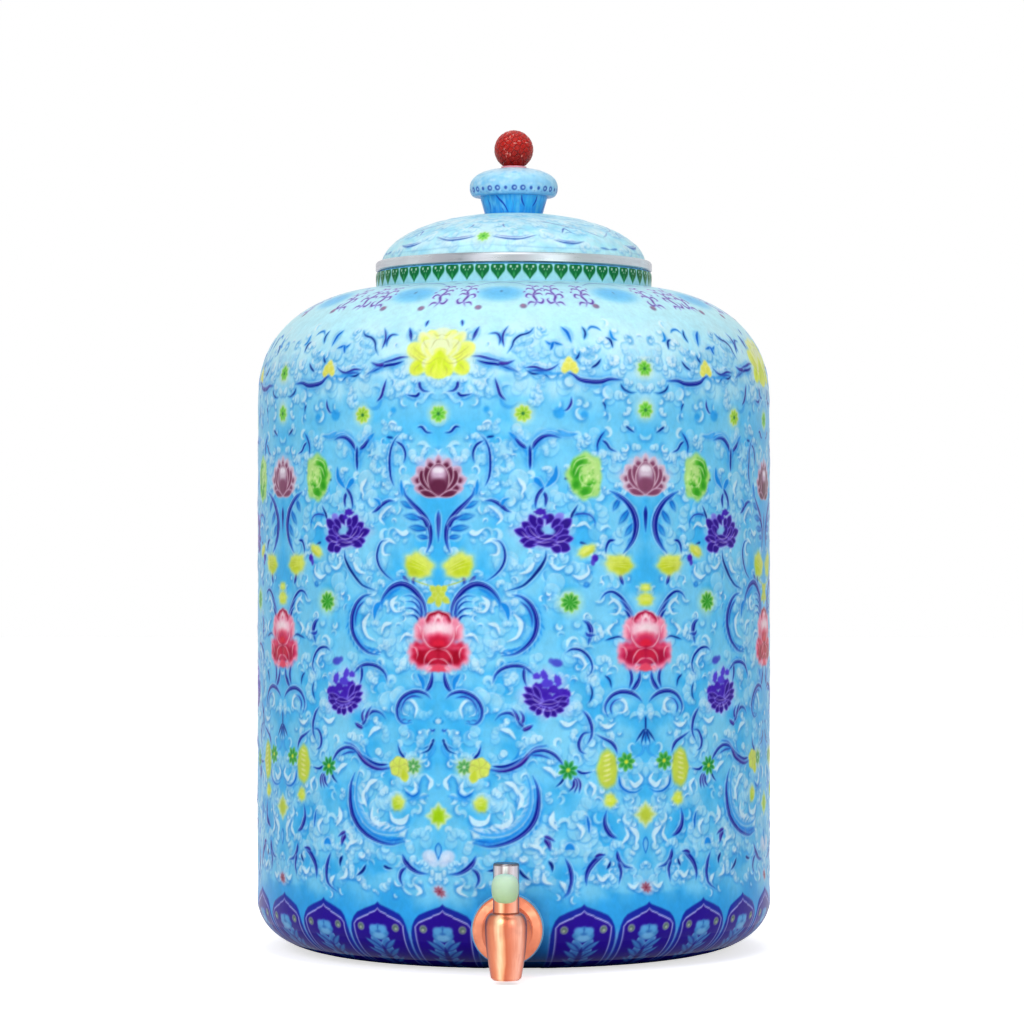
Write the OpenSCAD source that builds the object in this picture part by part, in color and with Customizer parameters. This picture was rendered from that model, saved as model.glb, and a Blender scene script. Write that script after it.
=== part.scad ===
// Glazed clay water pot with a drop-in lid and a push-lever tap.
// Millimetres. The origin is the centre of the flat underside, +Z is up,
// and the tap points along -Y.

/* [Vessel] */
// Outer radius of the straight wall
vessel_r = 129.5; // [120:0.5:140]
// Height of the shoulder's upper edge, where the neck starts
shoulder_top_z = 333.5; // [300:0.5:360]
// Height of the curved shoulder
shoulder_h = 59.5; // [50:0.5:70]
// Outer radius of the neck
neck_r = 69.7; // [64:0.1:74]
// Height of the neck above the shoulder
neck_h = 9.5; // [7:0.5:14]
// Thickness of the clay wall
wall_t = 8; // [6:0.5:10]
// Thickness of the neck
neck_t = 7.2; // [5:0.1:9]
// Thickness of the clay floor
floor_t = 8; // [7:0.5:9]
// Radius of the flat underside
base_flat_r = 78; // [70:1:90]
// Height of the curve from the underside to the wall
base_curve_h = 25; // [23:0.5:30]
// Radius of the flat part of the floor, inside
floor_flat_r = 98; // [90:1:104]

/* [Lid] */
// Height of the dome's ellipse
dome_h = 26.5; // [22:0.5:32]
// Thickness of the clay lid
lid_t = 6; // [4.5:0.5:7]
// Depth of the skirt below the neck's rim
skirt_drop = 9; // [6:0.5:14]
// Thickness of the skirt
skirt_t = 5; // [4:0.5:6]
// Gap between the skirt and the neck
skirt_gap = 0.9; // [0.5:0.1:1.5]
// Height of the metal trim ring
trim_h = 5; // [4.5:0.1:7]
// Thickness of the trim ring's metal
trim_t = 0.8; // [0.6:0.1:1]
// How far the trim ring stands out past the neck
trim_proud = 0.6; // [0.2:0.1:1.5]
// Width of the trim ring's upper lip, which holds the dome's foot
trim_lip = 3.3; // [2.5:0.1:4.5]

/* [Knob] */
// Radius of the knob's foot
knob_foot_r = 14.2; // [12:0.1:16]
// Radius of the knob's neck under its cap
knob_neck_r = 17; // [15:0.1:18.5]
// Height of the knob's neck
knob_neck_h = 10.2; // [8:0.2:14]
// How far the knob's cap stands out past its neck
knob_cap_proud = 5.2; // [4:0.1:8]
// Height of the cap above its widest line
knob_cap_rise = 10; // [7:0.5:13]
// Depth of the cap below its widest line
knob_cap_drop = 4.4; // [3:0.2:6]
// Radius of the finial ball
ball_r = 9.9; // [8:0.1:12]
// Radius of the flat on which the ball sits
ball_seat_r = 4.8; // [4:0.1:6]
// Thickness of the soft washer under the ball
ball_washer_t = 0.8; // [0.6:0.1:1.5]
// Radius of the threaded rod through the knob
stud_r = 2.5; // [2:0.1:3]

/* [Tap mounting] */
// Height of the tap's axis
tap_z = 22.6; // [21:0.1:40]
// How far the flat pad round the tap stands out past the wall
tap_pad_proud = 1.5; // [1:0.1:4]
// Radius of the flat pad round the tap
tap_pad_r = 17.3; // [17:0.1:19]
// Depth of the clay between the outer and the inner seat
tap_seat_depth = 13.5; // [12:0.5:15]
// Radius of the tap's threaded shank
shank_r = 7.2; // [6.6:0.1:8]
// Radius of the waterway through the shank
water_r = 4.5; // [3.5:0.1:5]
// Gap between the shank and the hole in the clay
shank_gap = 0.6; // [0.4:0.1:1]
// Radius of the flange
flange_r = 16.5; // [15:0.1:17]
// Thickness of the flange
flange_t = 3; // [2:0.2:4]
// Thickness of the outer sealing washer
outer_seal_t = 1.4; // [1:0.1:2]
// Thickness of the inner sealing washer
inner_seal_t = 2; // [1:0.1:2.4]
// Radius of the inner sealing washer
inner_seal_r = 11; // [10.5:0.1:11.4]
// Thickness of the metal washer under the nut
slip_washer_t = 1.2; // [0.8:0.1:1.6]
// Width of the nut across its flats
nut_af = 19; // [18.4:0.1:19.4]
// Thickness of the nut
nut_t = 6; // [5:0.5:8]
// Length of the shank past the nut
shank_past_nut = 3; // [2:0.5:5]

/* [Tap body] */
// Distance of the valve's axis from the outer pad's face
valve_reach = 27; // [26:0.5:34]
// Radius of the horizontal barrel
barrel_r = 11.6; // [11:0.1:12.4]
// Height of the spout's tip
spout_tip_z = 2; // [1.5:0.1:3]
// Thickness of the spout's wall at its tip
spout_wall = 1.9; // [1.6:0.1:2.4]
// Outer radius of the tap where it is widest
valve_body_r = 9.8; // [9.4:0.1:10.4]
// Inner radius of the spout
outlet_r = 5.3; // [4.5:0.1:5.4]
// Depth of the valve seat below the waterway
seat_drop = 1.1; // [0.5:0.1:2]
// Thickness of the valve seat
seat_t = 3; // [2:0.1:4]
// Radius of the hole in the valve seat
seat_hole_r = 3; // [2.4:0.1:3.3]
// Radius of the valve chamber
chamber_r = 4.8; // [4.7:0.1:5]
// Height of the tap body's top face above its axis
body_rise = 10.4; // [9.5:0.1:13]

/* [Valve] */
// Outer radius of the stem housing and its cap
housing_r = 6.1; // [6:0.05:6.4]
// Thickness of the housing's wall
housing_wall = 1.5; // [1.2:0.05:1.8]
// Height of the housing above its gasket
housing_h = 13.9; // [13:0.1:16]
// Thickness of the housing's gasket
gasket_t = 0.6; // [0.4:0.1:0.8]
// Height of the polished cap
cap_h = 8.9; // [8:0.1:11]
// Radius of the plunger's rod
rod_r = 1.5; // [1.2:0.05:1.55]
// Gap between the rubber plug and the wall of its chamber
plug_gap = 0.7; // [0.4:0.05:0.9]
// Height of the rubber plug
plug_h = 5; // [4:0.1:6]
// Thickness of the collar that the lever lifts
collar_t = 1.2; // [0.8:0.1:1.4]
// Radius of the spring's wire
wire_r = 0.35; // [0.25:0.01:0.36]
// Number of turns of the spring
spring_turns = 6; // [4:1:8]

/* [Lever] */
// Distance of the lever's pivot in front of the valve's axis
pivot_arm = 4; // [3.9:0.05:4.1]
// Height of the pivot above the housing's foot
pivot_rise = 9; // [8:0.1:10]
// Radius of the pivot pin
pin_r = 1; // [0.8:0.05:1.1]
// Radius of the lever's eye
eye_r = 2; // [1.8:0.05:2.05]
// Width of the lever at its eye and fork
fork_w = 6.2; // [5.6:0.1:6.3]
// Radius of the lever's rod
lever_rod_r = 1.6; // [1.3:0.05:1.65]
// Distance of the grip's centre in front of the pivot
grip_reach = 14; // [13.5:0.5:18]
// Height of the grip's centre above the pivot
grip_rise = 3.5; // [3:0.1:4]
// Radius of the grip
grip_r = 6.3; // [5.6:0.1:6.6]
// Height of the grip
grip_h = 13.4; // [11:0.2:15]

/* [Hidden] */

// Facets of a large, a middling and a small circle
fine = 180;
mid = 96;
small = 48;
// How far a cut runs past the face that it opens
past = 1;
// Running clearance of a pin or rod, of a pin pressed home, and of a thread
run_gap = 0.05;
pin_fit = 0.02;
thread_gap = 0.1;

// Powers of the flattened ellipses: across, then up
shoulder_powers = [1.8, 2.6];
base_powers = [3.05, 1.9];
dome_powers = [2, 2];
cap_powers = [2.3, 2.3];
curve_steps = 14;

// Vessel
neck_top_z = shoulder_top_z + neck_h;
neck_in_r = neck_r - neck_t;
shoulder_z = shoulder_top_z - shoulder_h;
vessel_in_r = vessel_r - wall_t;
lip_round = 0.8;

// Lid, from the neck's rim up
trim_r = neck_r + trim_proud;
dome_r = trim_r - trim_lip;
rim_z = neck_top_z + trim_t;
rim_top_z = neck_top_z + trim_h - trim_t;
rim_r = trim_r - trim_t - thread_gap;
dome_foot_z = rim_top_z - 1;
skirt_r = neck_in_r - skirt_gap;
skirt_in_r = skirt_r - skirt_t;
dome_flat = 1.2;
knob_seat_z = dome_foot_z + dome_h - dome_flat;
lid_under_z = knob_seat_z - lid_t;
trim_edge = 0.6;

// Knob, from its seat up
knob_cap_r = knob_neck_r + knob_cap_proud;
cap_low_z = knob_seat_z + knob_neck_h;
cap_wide_z = cap_low_z + knob_cap_drop;
knob_top_z = cap_wide_z + knob_cap_rise;
cap_edge = 2.2;
ball_washer_r = ball_seat_r + 1.6;
cap_seat_angle = acos(pow(ball_washer_r / knob_cap_r, cap_powers[0] / 2));
ball_low_z = knob_top_z + ball_washer_t;
ball_z = ball_low_z + sqrt(pow(ball_r, 2) - pow(ball_seat_r, 2));
stud_hole_r = stud_r + 0.4;
stud_in_ball = 7;
knob_washer_r = 8;
knob_washer_t = 1.2;
knob_nut_t = 4.5;
knob_nut_af = 2 * stud_r + 3;
stud_past_nut = 1.8;

// Tap, as distances from the pot's axis towards the front
tap_pad_y = vessel_r + tap_pad_proud;
inner_seat_y = tap_pad_y - tap_seat_depth;
spot_face_r = max(inner_seal_r, nut_af / 2 / cos(30)) + 0.8;
spot_face_depth = 16;
flange_y = tap_pad_y + outer_seal_t;
body_y = flange_y + flange_t;
slip_washer_y = inner_seat_y - inner_seal_t;
nut_y = slip_washer_y - slip_washer_t;
shank_end_y = nut_y - nut_t - shank_past_nut;
valve_y = tap_pad_y + valve_reach;
outer_seal_r = flange_r - 2;
slip_washer_r = inner_seal_r - 0.4;
flange_rim_t = 0.9;
flange_bevel = 0.9;
barrel_end_y = valve_y - 8;
barrel_nose_l = 4;
barrel_nose_r = barrel_r - 3.6;
spout_tip_r = outlet_r + spout_wall;
spout_edge = 1.1;
seat_z = tap_z - water_r - seat_drop;
outlet_top_z = seat_z - seat_t;
body_top_z = tap_z + body_rise;
shoulder_low_z = body_top_z - 6;
body_top_r = housing_r + 0.5;
edge = 0.6;

// Valve stack, from the tap body up
housing_z = body_top_z + gasket_t;
housing_top_z = housing_z + housing_h;
cap_top_z = housing_top_z + cap_h;
cavity_r = housing_r - housing_wall;
plug_r = chamber_r - plug_gap;
collar_r = fork_w / 2;
pivot_z = housing_z + pivot_rise;
spigot_l = 5.2;
spigot_r = chamber_r - thread_gap;
cavity_floor = 1.8;
guide_r = rod_r + thread_gap;
seal_groove_h = 1.6;
seal_groove_z = housing_z - 3.2;
seal_wire_r = 0.7;
seal_ring_r = rod_r + seal_wire_r + run_gap;
seal_groove_r = seal_ring_r + seal_wire_r + run_gap;
slot_w = fork_w + 0.4;
slot_up = eye_r + 0.6;
slot_down = eye_r + 0.4;
slot_in = 1.5;
cap_wall = 1.05;
cap_skirt = 1.8;
cap_roof = 2.4;
cap_edge_round = 1.1;
cap_in_r = cavity_r - cap_wall;
fork_tip_r = eye_r;
lift_gap = 0.15;
collar_z = pivot_z + fork_tip_r + lift_gap;
spring_low_z = collar_z + collar_t + run_gap;
spring_high_z = cap_top_z - cap_roof - run_gap;
spring_r = rod_r + wire_r + 0.6;
spring_rise = spring_high_z - spring_low_z - 2 * wire_r;
spring_sides = 6;
spring_rings_per_turn = 20;
spring_rings = round(spring_turns * spring_rings_per_turn);
rod_low_z = seat_z + 1.5;
rod_past_collar = 4;
pivot_y = valve_y + pivot_arm;
fork_gap = 2 * rod_r + 0.5;
pin_l = 2 * sqrt(pow(housing_r, 2) - pow(pivot_arm, 2)) - 2 * thread_gap;
lever_slope = atan(grip_rise / grip_reach);
grip_y = pivot_y + grip_reach;
grip_z = pivot_z + grip_rise;
grip_powers = [3, 2.6];
rod_in_grip = 3;
grip_lever_l = sqrt(pow(grip_reach, 2) + pow(grip_rise, 2));

// Points of a flattened ellipse's quarter, from its foot at (r, z) to its top.
// It is across wide and up high, and low_angle skips the part nearest its foot.
function quarter(r, z, across, up, powers, low_angle = 0, high_angle = 90) = [
    for (i = [0:curve_steps])
        let (a = low_angle + (high_angle - low_angle) * i / curve_steps)
            [r + across * pow(cos(a), 2 / powers[0]), z + up * pow(sin(a), 2 / powers[1])]
];

function reversed(points) = [for (i = [len(points) - 1:-1:0]) points[i]];

// A round bar or bore along Y, between two distances in front of the pot's axis
module along_y(r, from_y, to_y, z = tap_z, facets = mid) {
    translate([0, -from_y, z])
        rotate([90, 0, 0])
            cylinder(r = r, h = to_y - from_y, $fn = facets);
}

// A flat ring round a vertical axis
module washer(r, hole_r, t, facets = small) {
    difference() {
        cylinder(r = r, h = t, $fn = facets);
        translate([0, 0, -past]) cylinder(r = hole_r, h = t + 2 * past, $fn = facets);
    }
}

// A flat ring round the tap's shank
module shank_washer(r, t, y, gap = thread_gap) {
    translate([0, -y, tap_z])
        rotate([90, 0, 0])
            washer(r, shank_r + gap, t, mid);
}

// The vessel's outline turned round its axis: outside up, rim, inside down
module vessel_shell() {
    rotate_extrude($fn = fine)
        polygon(concat(
            [[0, 0]],
            reversed([for (p = quarter(base_flat_r, 0, vessel_r - base_flat_r,
                                       base_curve_h, base_powers))
                [p[0], base_curve_h - p[1]]]),
            quarter(neck_r, shoulder_z, vessel_r - neck_r, shoulder_h, shoulder_powers),
            [[neck_r, neck_top_z - lip_round],
             [neck_r - lip_round, neck_top_z],
             [neck_in_r + lip_round, neck_top_z],
             [neck_in_r, neck_top_z - lip_round]],
            reversed(quarter(neck_in_r, shoulder_z, vessel_in_r - neck_in_r,
                             shoulder_h - wall_t, shoulder_powers)),
            [for (p = quarter(floor_flat_r, floor_t, vessel_in_r - floor_flat_r,
                              base_curve_h - floor_t, base_powers))
                [p[0], floor_t + base_curve_h - p[1]]],
            [[0, floor_t]]
        ));
}

module vessel() {
    color("skyblue")
        difference() {
            union() {
                vessel_shell();
                along_y(tap_pad_r, inner_seat_y, tap_pad_y);
            }
            along_y(shank_r + shank_gap, inner_seat_y - past, tap_pad_y + past);
            along_y(spot_face_r, inner_seat_y - spot_face_depth, inner_seat_y);
        }
}

module lid() {
    foot_angle = asin((rim_top_z - dome_foot_z) / dome_h);
    seat_angle = asin((knob_seat_z - dome_foot_z) / dome_h);
    hollow_h = dome_h - lid_t;
    roof_angle = asin((lid_under_z - dome_foot_z) / hollow_h);
    color("lightblue")
        rotate_extrude($fn = fine)
            polygon(concat(
                [[skirt_in_r, neck_top_z - skirt_drop],
                 [skirt_r - lip_round, neck_top_z - skirt_drop],
                 [skirt_r, neck_top_z - skirt_drop + lip_round],
                 [skirt_r, rim_z],
                 [rim_r, rim_z],
                 [rim_r, rim_top_z]],
                quarter(0, dome_foot_z, dome_r, dome_h, dome_powers, foot_angle, seat_angle),
                [[stud_hole_r, knob_seat_z], [stud_hole_r, lid_under_z]],
                reversed(quarter(0, dome_foot_z, skirt_in_r, hollow_h, dome_powers,
                                 0, roof_angle))
            ));
}

// A channel that grips the lid's rim and rests on the neck
module lid_trim_ring() {
    color("silver")
        rotate_extrude($fn = fine)
            polygon([
                [skirt_r + thread_gap, neck_top_z],
                [trim_r - trim_edge, neck_top_z],
                [trim_r, neck_top_z + trim_edge],
                [trim_r, neck_top_z + trim_h - 2 * trim_edge],
                [trim_r - trim_edge, neck_top_z + trim_h - trim_edge / 2],
                [trim_r - 2 * trim_edge, neck_top_z + trim_h],
                [dome_r + thread_gap, neck_top_z + trim_h],
                [dome_r + thread_gap, rim_top_z],
                [trim_r - trim_t, rim_top_z],
                [trim_r - trim_t, rim_z],
                [skirt_r + thread_gap, rim_z]
            ]);
}

module knob() {
    color("deepskyblue")
        rotate_extrude($fn = mid)
            polygon(concat(
                [[stud_hole_r, knob_seat_z],
                 [knob_foot_r, knob_seat_z],
                 [knob_neck_r, cap_low_z + edge]],
                reversed([for (p = quarter(knob_cap_r - cap_edge, 0, cap_edge,
                                           knob_cap_drop, dome_powers))
                    [p[0], cap_wide_z - p[1]]]),
                quarter(0, cap_wide_z, knob_cap_r, knob_cap_rise, cap_powers,
                        0, cap_seat_angle),
                [[ball_washer_r, knob_top_z], [stud_hole_r, knob_top_z]]
            ));
}

module finial_washer() {
    color("pink")
        translate([0, 0, knob_top_z])
            washer(ball_washer_r, stud_r + thread_gap, ball_washer_t);
}

module finial_ball() {
    bore_z = ball_low_z + stud_in_ball;
    color("firebrick")
        difference() {
            translate([0, 0, ball_z]) sphere(r = ball_r, $fn = mid);
            translate([0, 0, ball_low_z - ball_r])
                cylinder(r = ball_r, h = ball_r, $fn = small);
            translate([0, 0, ball_low_z - past])
                cylinder(r = stud_r + run_gap, h = bore_z - ball_low_z + past, $fn = small);
        }
}

module knob_stud() {
    low_z = lid_under_z - knob_washer_t - knob_nut_t - stud_past_nut;
    color("silver")
        translate([0, 0, low_z])
            cylinder(r = stud_r, h = ball_low_z + stud_in_ball - low_z, $fn = small);
}

module knob_washer() {
    color("silver")
        translate([0, 0, lid_under_z - knob_washer_t])
            washer(knob_washer_r, stud_r + thread_gap, knob_washer_t);
}

module knob_nut() {
    color("silver")
        translate([0, 0, lid_under_z - knob_washer_t - knob_nut_t])
            difference() {
                cylinder(d = knob_nut_af / cos(30), h = knob_nut_t, $fn = 6);
                translate([0, 0, -past])
                    cylinder(r = stud_r + run_gap, h = knob_nut_t + 2 * past, $fn = small);
            }
}

module tap_outer_seal() {
    color("dimgray") shank_washer(outer_seal_r, outer_seal_t, tap_pad_y);
}

module tap_flange() {
    color("sandybrown")
        translate([0, -flange_y, tap_z])
            rotate([90, 0, 0])
                rotate_extrude($fn = mid)
                    polygon([
                        [shank_r + thread_gap, 0],
                        [flange_r, 0],
                        [flange_r, flange_rim_t],
                        [flange_r - flange_bevel, flange_rim_t + flange_bevel],
                        [barrel_r + edge, flange_t],
                        [shank_r + thread_gap, flange_t]
                    ]);
}

// The spout and valve body, turned round the valve's axis
module spout_shape() {
    wide_z = shoulder_low_z;
    low_z = spout_tip_z + spout_edge;
    rotate_extrude($fn = mid)
        polygon(concat(
            [[0, spout_tip_z], [spout_tip_r - spout_edge, spout_tip_z]],
            [for (i = [0:curve_steps])
                let (t = i / curve_steps)
                    [spout_tip_r + (valve_body_r - spout_tip_r) * sin(90 * t),
                     low_z + (wide_z - low_z) * t]],
            quarter(body_top_r, wide_z, valve_body_r - body_top_r,
                    body_top_z - wide_z, dome_powers, 90 / curve_steps),
            [[0, body_top_z]]
        ));
}

module tap_body() {
    color("sandybrown")
        difference() {
            union() {
                along_y(shank_r, shank_end_y, body_y);
                along_y(barrel_r, body_y, barrel_end_y);
                translate([0, -barrel_end_y, tap_z])
                    rotate([90, 0, 0])
                        cylinder(r1 = barrel_r, r2 = barrel_nose_r, h = barrel_nose_l, $fn = mid);
                translate([0, -valve_y, 0]) spout_shape();
            }
            along_y(water_r, shank_end_y - past, valve_y, facets = small);
            translate([0, -valve_y, seat_z])
                cylinder(r = chamber_r, h = body_top_z - seat_z + past, $fn = small);
            translate([0, -valve_y, spout_tip_z - past])
                cylinder(r = seat_hole_r, h = seat_z - spout_tip_z + 2 * past, $fn = small);
            translate([0, -valve_y, spout_tip_z - past])
                cylinder(r = outlet_r, h = outlet_top_z - spout_tip_z + past, $fn = small);
        }
}

module tap_inner_seal() {
    color("dimgray") shank_washer(inner_seal_r, inner_seal_t, slip_washer_y);
}

module tap_slip_washer() {
    color("silver") shank_washer(slip_washer_r, slip_washer_t, nut_y);
}

module tap_backnut() {
    color("sandybrown")
        translate([0, -(nut_y - nut_t), tap_z])
            rotate([90, 0, 0])
                difference() {
                    cylinder(d = nut_af / cos(30), h = nut_t, $fn = 6);
                    translate([0, 0, -past])
                        cylinder(r = shank_r + run_gap, h = nut_t + 2 * past, $fn = mid);
                }
}

module housing_gasket() {
    color("dimgray")
        translate([0, -valve_y, body_top_z])
            washer(housing_r, spigot_r + run_gap, gasket_t);
}

// The copper stem: it guides the plunger and holds the lever's pin
module valve_housing() {
    color("sandybrown")
        difference() {
            translate([0, -valve_y, 0])
                difference() {
                    union() {
                        translate([0, 0, housing_z])
                            cylinder(r = housing_r, h = housing_h, $fn = mid);
                        translate([0, 0, housing_z - spigot_l])
                            cylinder(r = spigot_r, h = spigot_l + edge, $fn = small);
                    }
                    translate([0, 0, housing_z + cavity_floor])
                        cylinder(r = cavity_r, h = housing_h, $fn = small);
                    translate([0, 0, housing_z - spigot_l - past])
                        cylinder(r = guide_r, h = spigot_l + cavity_floor + 2 * past, $fn = small);
                    translate([0, 0, seal_groove_z])
                        cylinder(r = seal_groove_r, h = seal_groove_h, $fn = small);
                }
            translate([-slot_w / 2, -valve_y - housing_r - past, pivot_z - slot_down])
                cube([slot_w, housing_r + past - slot_in, slot_up + slot_down]);
            translate([-housing_r, -pivot_y, pivot_z])
                rotate([0, 90, 0])
                    cylinder(r = pin_r + pin_fit, h = 2 * housing_r, $fn = small);
        }
}

// The ring that keeps water out of the housing
module rod_seal() {
    color("dimgray")
        translate([0, -valve_y, seal_groove_z + seal_groove_h / 2])
            rotate_extrude($fn = small)
                translate([seal_ring_r, 0]) circle(r = seal_wire_r, $fn = 24);
}

module valve_cap() {
    color("gainsboro")
        translate([0, -valve_y, 0])
            rotate_extrude($fn = mid)
                polygon(concat(
                    [[cap_in_r, housing_top_z - cap_skirt],
                     [cavity_r - run_gap, housing_top_z - cap_skirt],
                     [cavity_r - run_gap, housing_top_z],
                     [housing_r, housing_top_z]],
                    quarter(housing_r - cap_edge_round, cap_top_z - cap_edge_round,
                            cap_edge_round, cap_edge_round, dome_powers),
                    [[0, cap_top_z],
                     [0, cap_top_z - cap_roof],
                     [cap_in_r, cap_top_z - cap_roof]]
                ));
}

module plunger_rod() {
    color("silver")
        translate([0, -valve_y, rod_low_z])
            cylinder(r = rod_r, h = collar_z + collar_t + rod_past_collar - rod_low_z, $fn = small);
}

module plunger_plug() {
    color("dimgray")
        translate([0, -valve_y, seat_z])
            difference() {
                union() {
                    cylinder(r1 = plug_r - edge, r2 = plug_r, h = edge, $fn = small);
                    translate([0, 0, edge]) cylinder(r = plug_r, h = plug_h - edge, $fn = small);
                }
                translate([0, 0, rod_low_z - seat_z])
                    cylinder(r = rod_r + run_gap / 2, h = plug_h, $fn = small);
            }
}

module lift_collar() {
    color("silver")
        translate([0, -valve_y, collar_z])
            washer(collar_r, rod_r + run_gap / 2, collar_t);
}

// A point of the spring's centre line, at a ring counted from its lower end
function spring_point(i) = [
    spring_r * cos(360 * i / spring_rings_per_turn),
    spring_r * sin(360 * i / spring_rings_per_turn),
    spring_low_z + wire_r + spring_rise * i / spring_rings
];

// The least gap between turns, from points at least half a turn apart
spring_gap = min([
    for (i = [0:spring_rings], j = [i + spring_rings_per_turn / 2:spring_rings])
        norm(spring_point(i) - spring_point(j))
]) - 2 * wire_r;
echo(spring_gap = spring_gap);

// The wire follows a helix: rings of six corners, joined by triangles
module valve_spring() {
    points = [
        for (i = [0:spring_rings], s = [0:spring_sides - 1])
            let (turn = 360 * i / spring_rings_per_turn, side = 360 * s / spring_sides)
                spring_point(i) + wire_r * [cos(side) * cos(turn), cos(side) * sin(turn), sin(side)]
    ];
    walls = [
        for (i = [0:spring_rings - 1], s = [0:spring_sides - 1])
            let (a = i * spring_sides + s, b = i * spring_sides + (s + 1) % spring_sides)
                each [[a, b, b + spring_sides], [a, b + spring_sides, a + spring_sides]]
    ];
    ends = [
        [for (s = [spring_sides - 1:-1:0]) s],
        [for (s = [0:spring_sides - 1]) spring_rings * spring_sides + s]
    ];
    color("silver")
        translate([0, -valve_y, 0])
            polyhedron(points = points, faces = concat(walls, ends), convexity = 10);
}

module lever_pin() {
    color("silver")
        translate([-pin_l / 2, -pivot_y, pivot_z])
            rotate([0, 90, 0])
                cylinder(r = pin_r, h = pin_l, $fn = small);
}

// A round bar from the pivot towards the grip
module lever_bar(r, l) {
    translate([0, -pivot_y, pivot_z])
        rotate([90 - lever_slope, 0, 0])
            cylinder(r = r, h = l, $fn = small);
}

module lever() {
    color("silver")
        difference() {
            union() {
                lever_bar(lever_rod_r, grip_lever_l + rod_in_grip);
                translate([-fork_w / 2, -pivot_y, pivot_z])
                    rotate([0, 90, 0]) cylinder(r = eye_r, h = fork_w, $fn = small);
                difference() {
                    union() {
                        translate([-fork_w / 2, -pivot_y, pivot_z - fork_tip_r])
                            cube([fork_w, pivot_arm, 2 * fork_tip_r]);
                        translate([-fork_w / 2, -valve_y, pivot_z])
                            rotate([0, 90, 0])
                                cylinder(r = fork_tip_r, h = fork_w, $fn = small);
                    }
                    translate([-fork_gap / 2, -pivot_y + eye_r, pivot_z - 2 * fork_tip_r])
                        cube([fork_gap, 2 * pivot_arm, 4 * fork_tip_r]);
                }
            }
            translate([-fork_w, -pivot_y, pivot_z])
                rotate([0, 90, 0])
                    cylinder(r = pin_r + run_gap, h = 2 * fork_w, $fn = small);
        }
}

module lever_grip() {
    color("palegreen")
        difference() {
            translate([0, -grip_y, grip_z])
                rotate_extrude($fn = mid)
                    polygon(concat(
                        reversed([for (p = quarter(0, 0, grip_r, grip_h / 2, grip_powers))
                            [p[0], -p[1]]]),
                        quarter(0, 0, grip_r, grip_h / 2, grip_powers, 90 / curve_steps)
                    ));
            lever_bar(lever_rod_r + run_gap / 2, grip_lever_l + rod_in_grip);
        }
}

vessel();
lid();
lid_trim_ring();
knob();
finial_washer();
finial_ball();
knob_stud();
knob_washer();
knob_nut();
tap_outer_seal();
tap_flange();
tap_body();
tap_inner_seal();
tap_slip_washer();
tap_backnut();
housing_gasket();
valve_housing();
rod_seal();
valve_cap();
plunger_rod();
plunger_plug();
lift_collar();
valve_spring();
lever_pin();
lever();
lever_grip();
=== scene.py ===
"""The looks of a glazed clay water pot with a lid and a small copper tap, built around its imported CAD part.

The pot's painted ground is a canvas of brush strokes, petals and scallops, written in millimetres on the
unrolled wall. It is painted for one eighth of the round and folded, then carried by a fine mesh whose
vertices hold its colour and whose surface holds its relief.
"""

import math

import bpy
import numpy as np
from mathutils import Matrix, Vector


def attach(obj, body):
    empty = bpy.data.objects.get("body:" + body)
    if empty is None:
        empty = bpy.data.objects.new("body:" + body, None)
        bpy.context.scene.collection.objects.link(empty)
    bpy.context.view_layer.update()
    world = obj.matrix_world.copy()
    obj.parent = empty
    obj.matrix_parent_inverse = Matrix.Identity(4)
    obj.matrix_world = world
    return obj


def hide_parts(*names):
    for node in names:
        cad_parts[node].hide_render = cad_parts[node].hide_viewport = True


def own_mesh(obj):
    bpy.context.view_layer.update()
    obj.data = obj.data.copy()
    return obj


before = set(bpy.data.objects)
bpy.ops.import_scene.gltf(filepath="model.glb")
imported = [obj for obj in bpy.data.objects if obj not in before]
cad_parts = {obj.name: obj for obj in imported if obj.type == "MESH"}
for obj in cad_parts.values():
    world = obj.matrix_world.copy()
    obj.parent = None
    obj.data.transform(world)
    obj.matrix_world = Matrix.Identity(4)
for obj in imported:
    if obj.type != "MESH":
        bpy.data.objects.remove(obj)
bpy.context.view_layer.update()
MM = 0.001  # metres in a millimetre

# ---------------------------------------------------------------- camera
PICTURE = 1024  # pixels across the picture
SENSOR = 36.0  # millimetres across the camera's sensor
FOCAL_PX = 3623.0  # focal length in the picture's pixels
HORIZON_PX, AXIS_PX = 542.0, 513.8  # the picture's row of the horizon and column of the pot's axis
CAMERA_AWAY = 1.845  # metres from the pot's axis
CAMERA_AZIMUTH = math.radians(1.3)
CAMERA_HEIGHT = 0.2057  # metres above the floor

camera_data = bpy.data.cameras.new("camera")
camera = bpy.data.objects.new("camera", camera_data)
bpy.context.scene.collection.objects.link(camera)
camera_data.sensor_width = SENSOR
camera_data.lens = SENSOR * FOCAL_PX / PICTURE
camera.location = (
    CAMERA_AWAY * math.sin(CAMERA_AZIMUTH),
    -CAMERA_AWAY * math.cos(CAMERA_AZIMUTH),
    CAMERA_HEIGHT,
)
camera.rotation_euler = (
    math.pi / 2 + math.atan((HORIZON_PX - PICTURE / 2) / FOCAL_PX),
    0,
    CAMERA_AZIMUTH + math.atan((AXIS_PX - PICTURE / 2) / FOCAL_PX),
)
bpy.context.scene.camera = camera


# ---------------------------------------------------------------- painting tools
CELL = 0.2  # millimetres between the painted canvas's points


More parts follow.
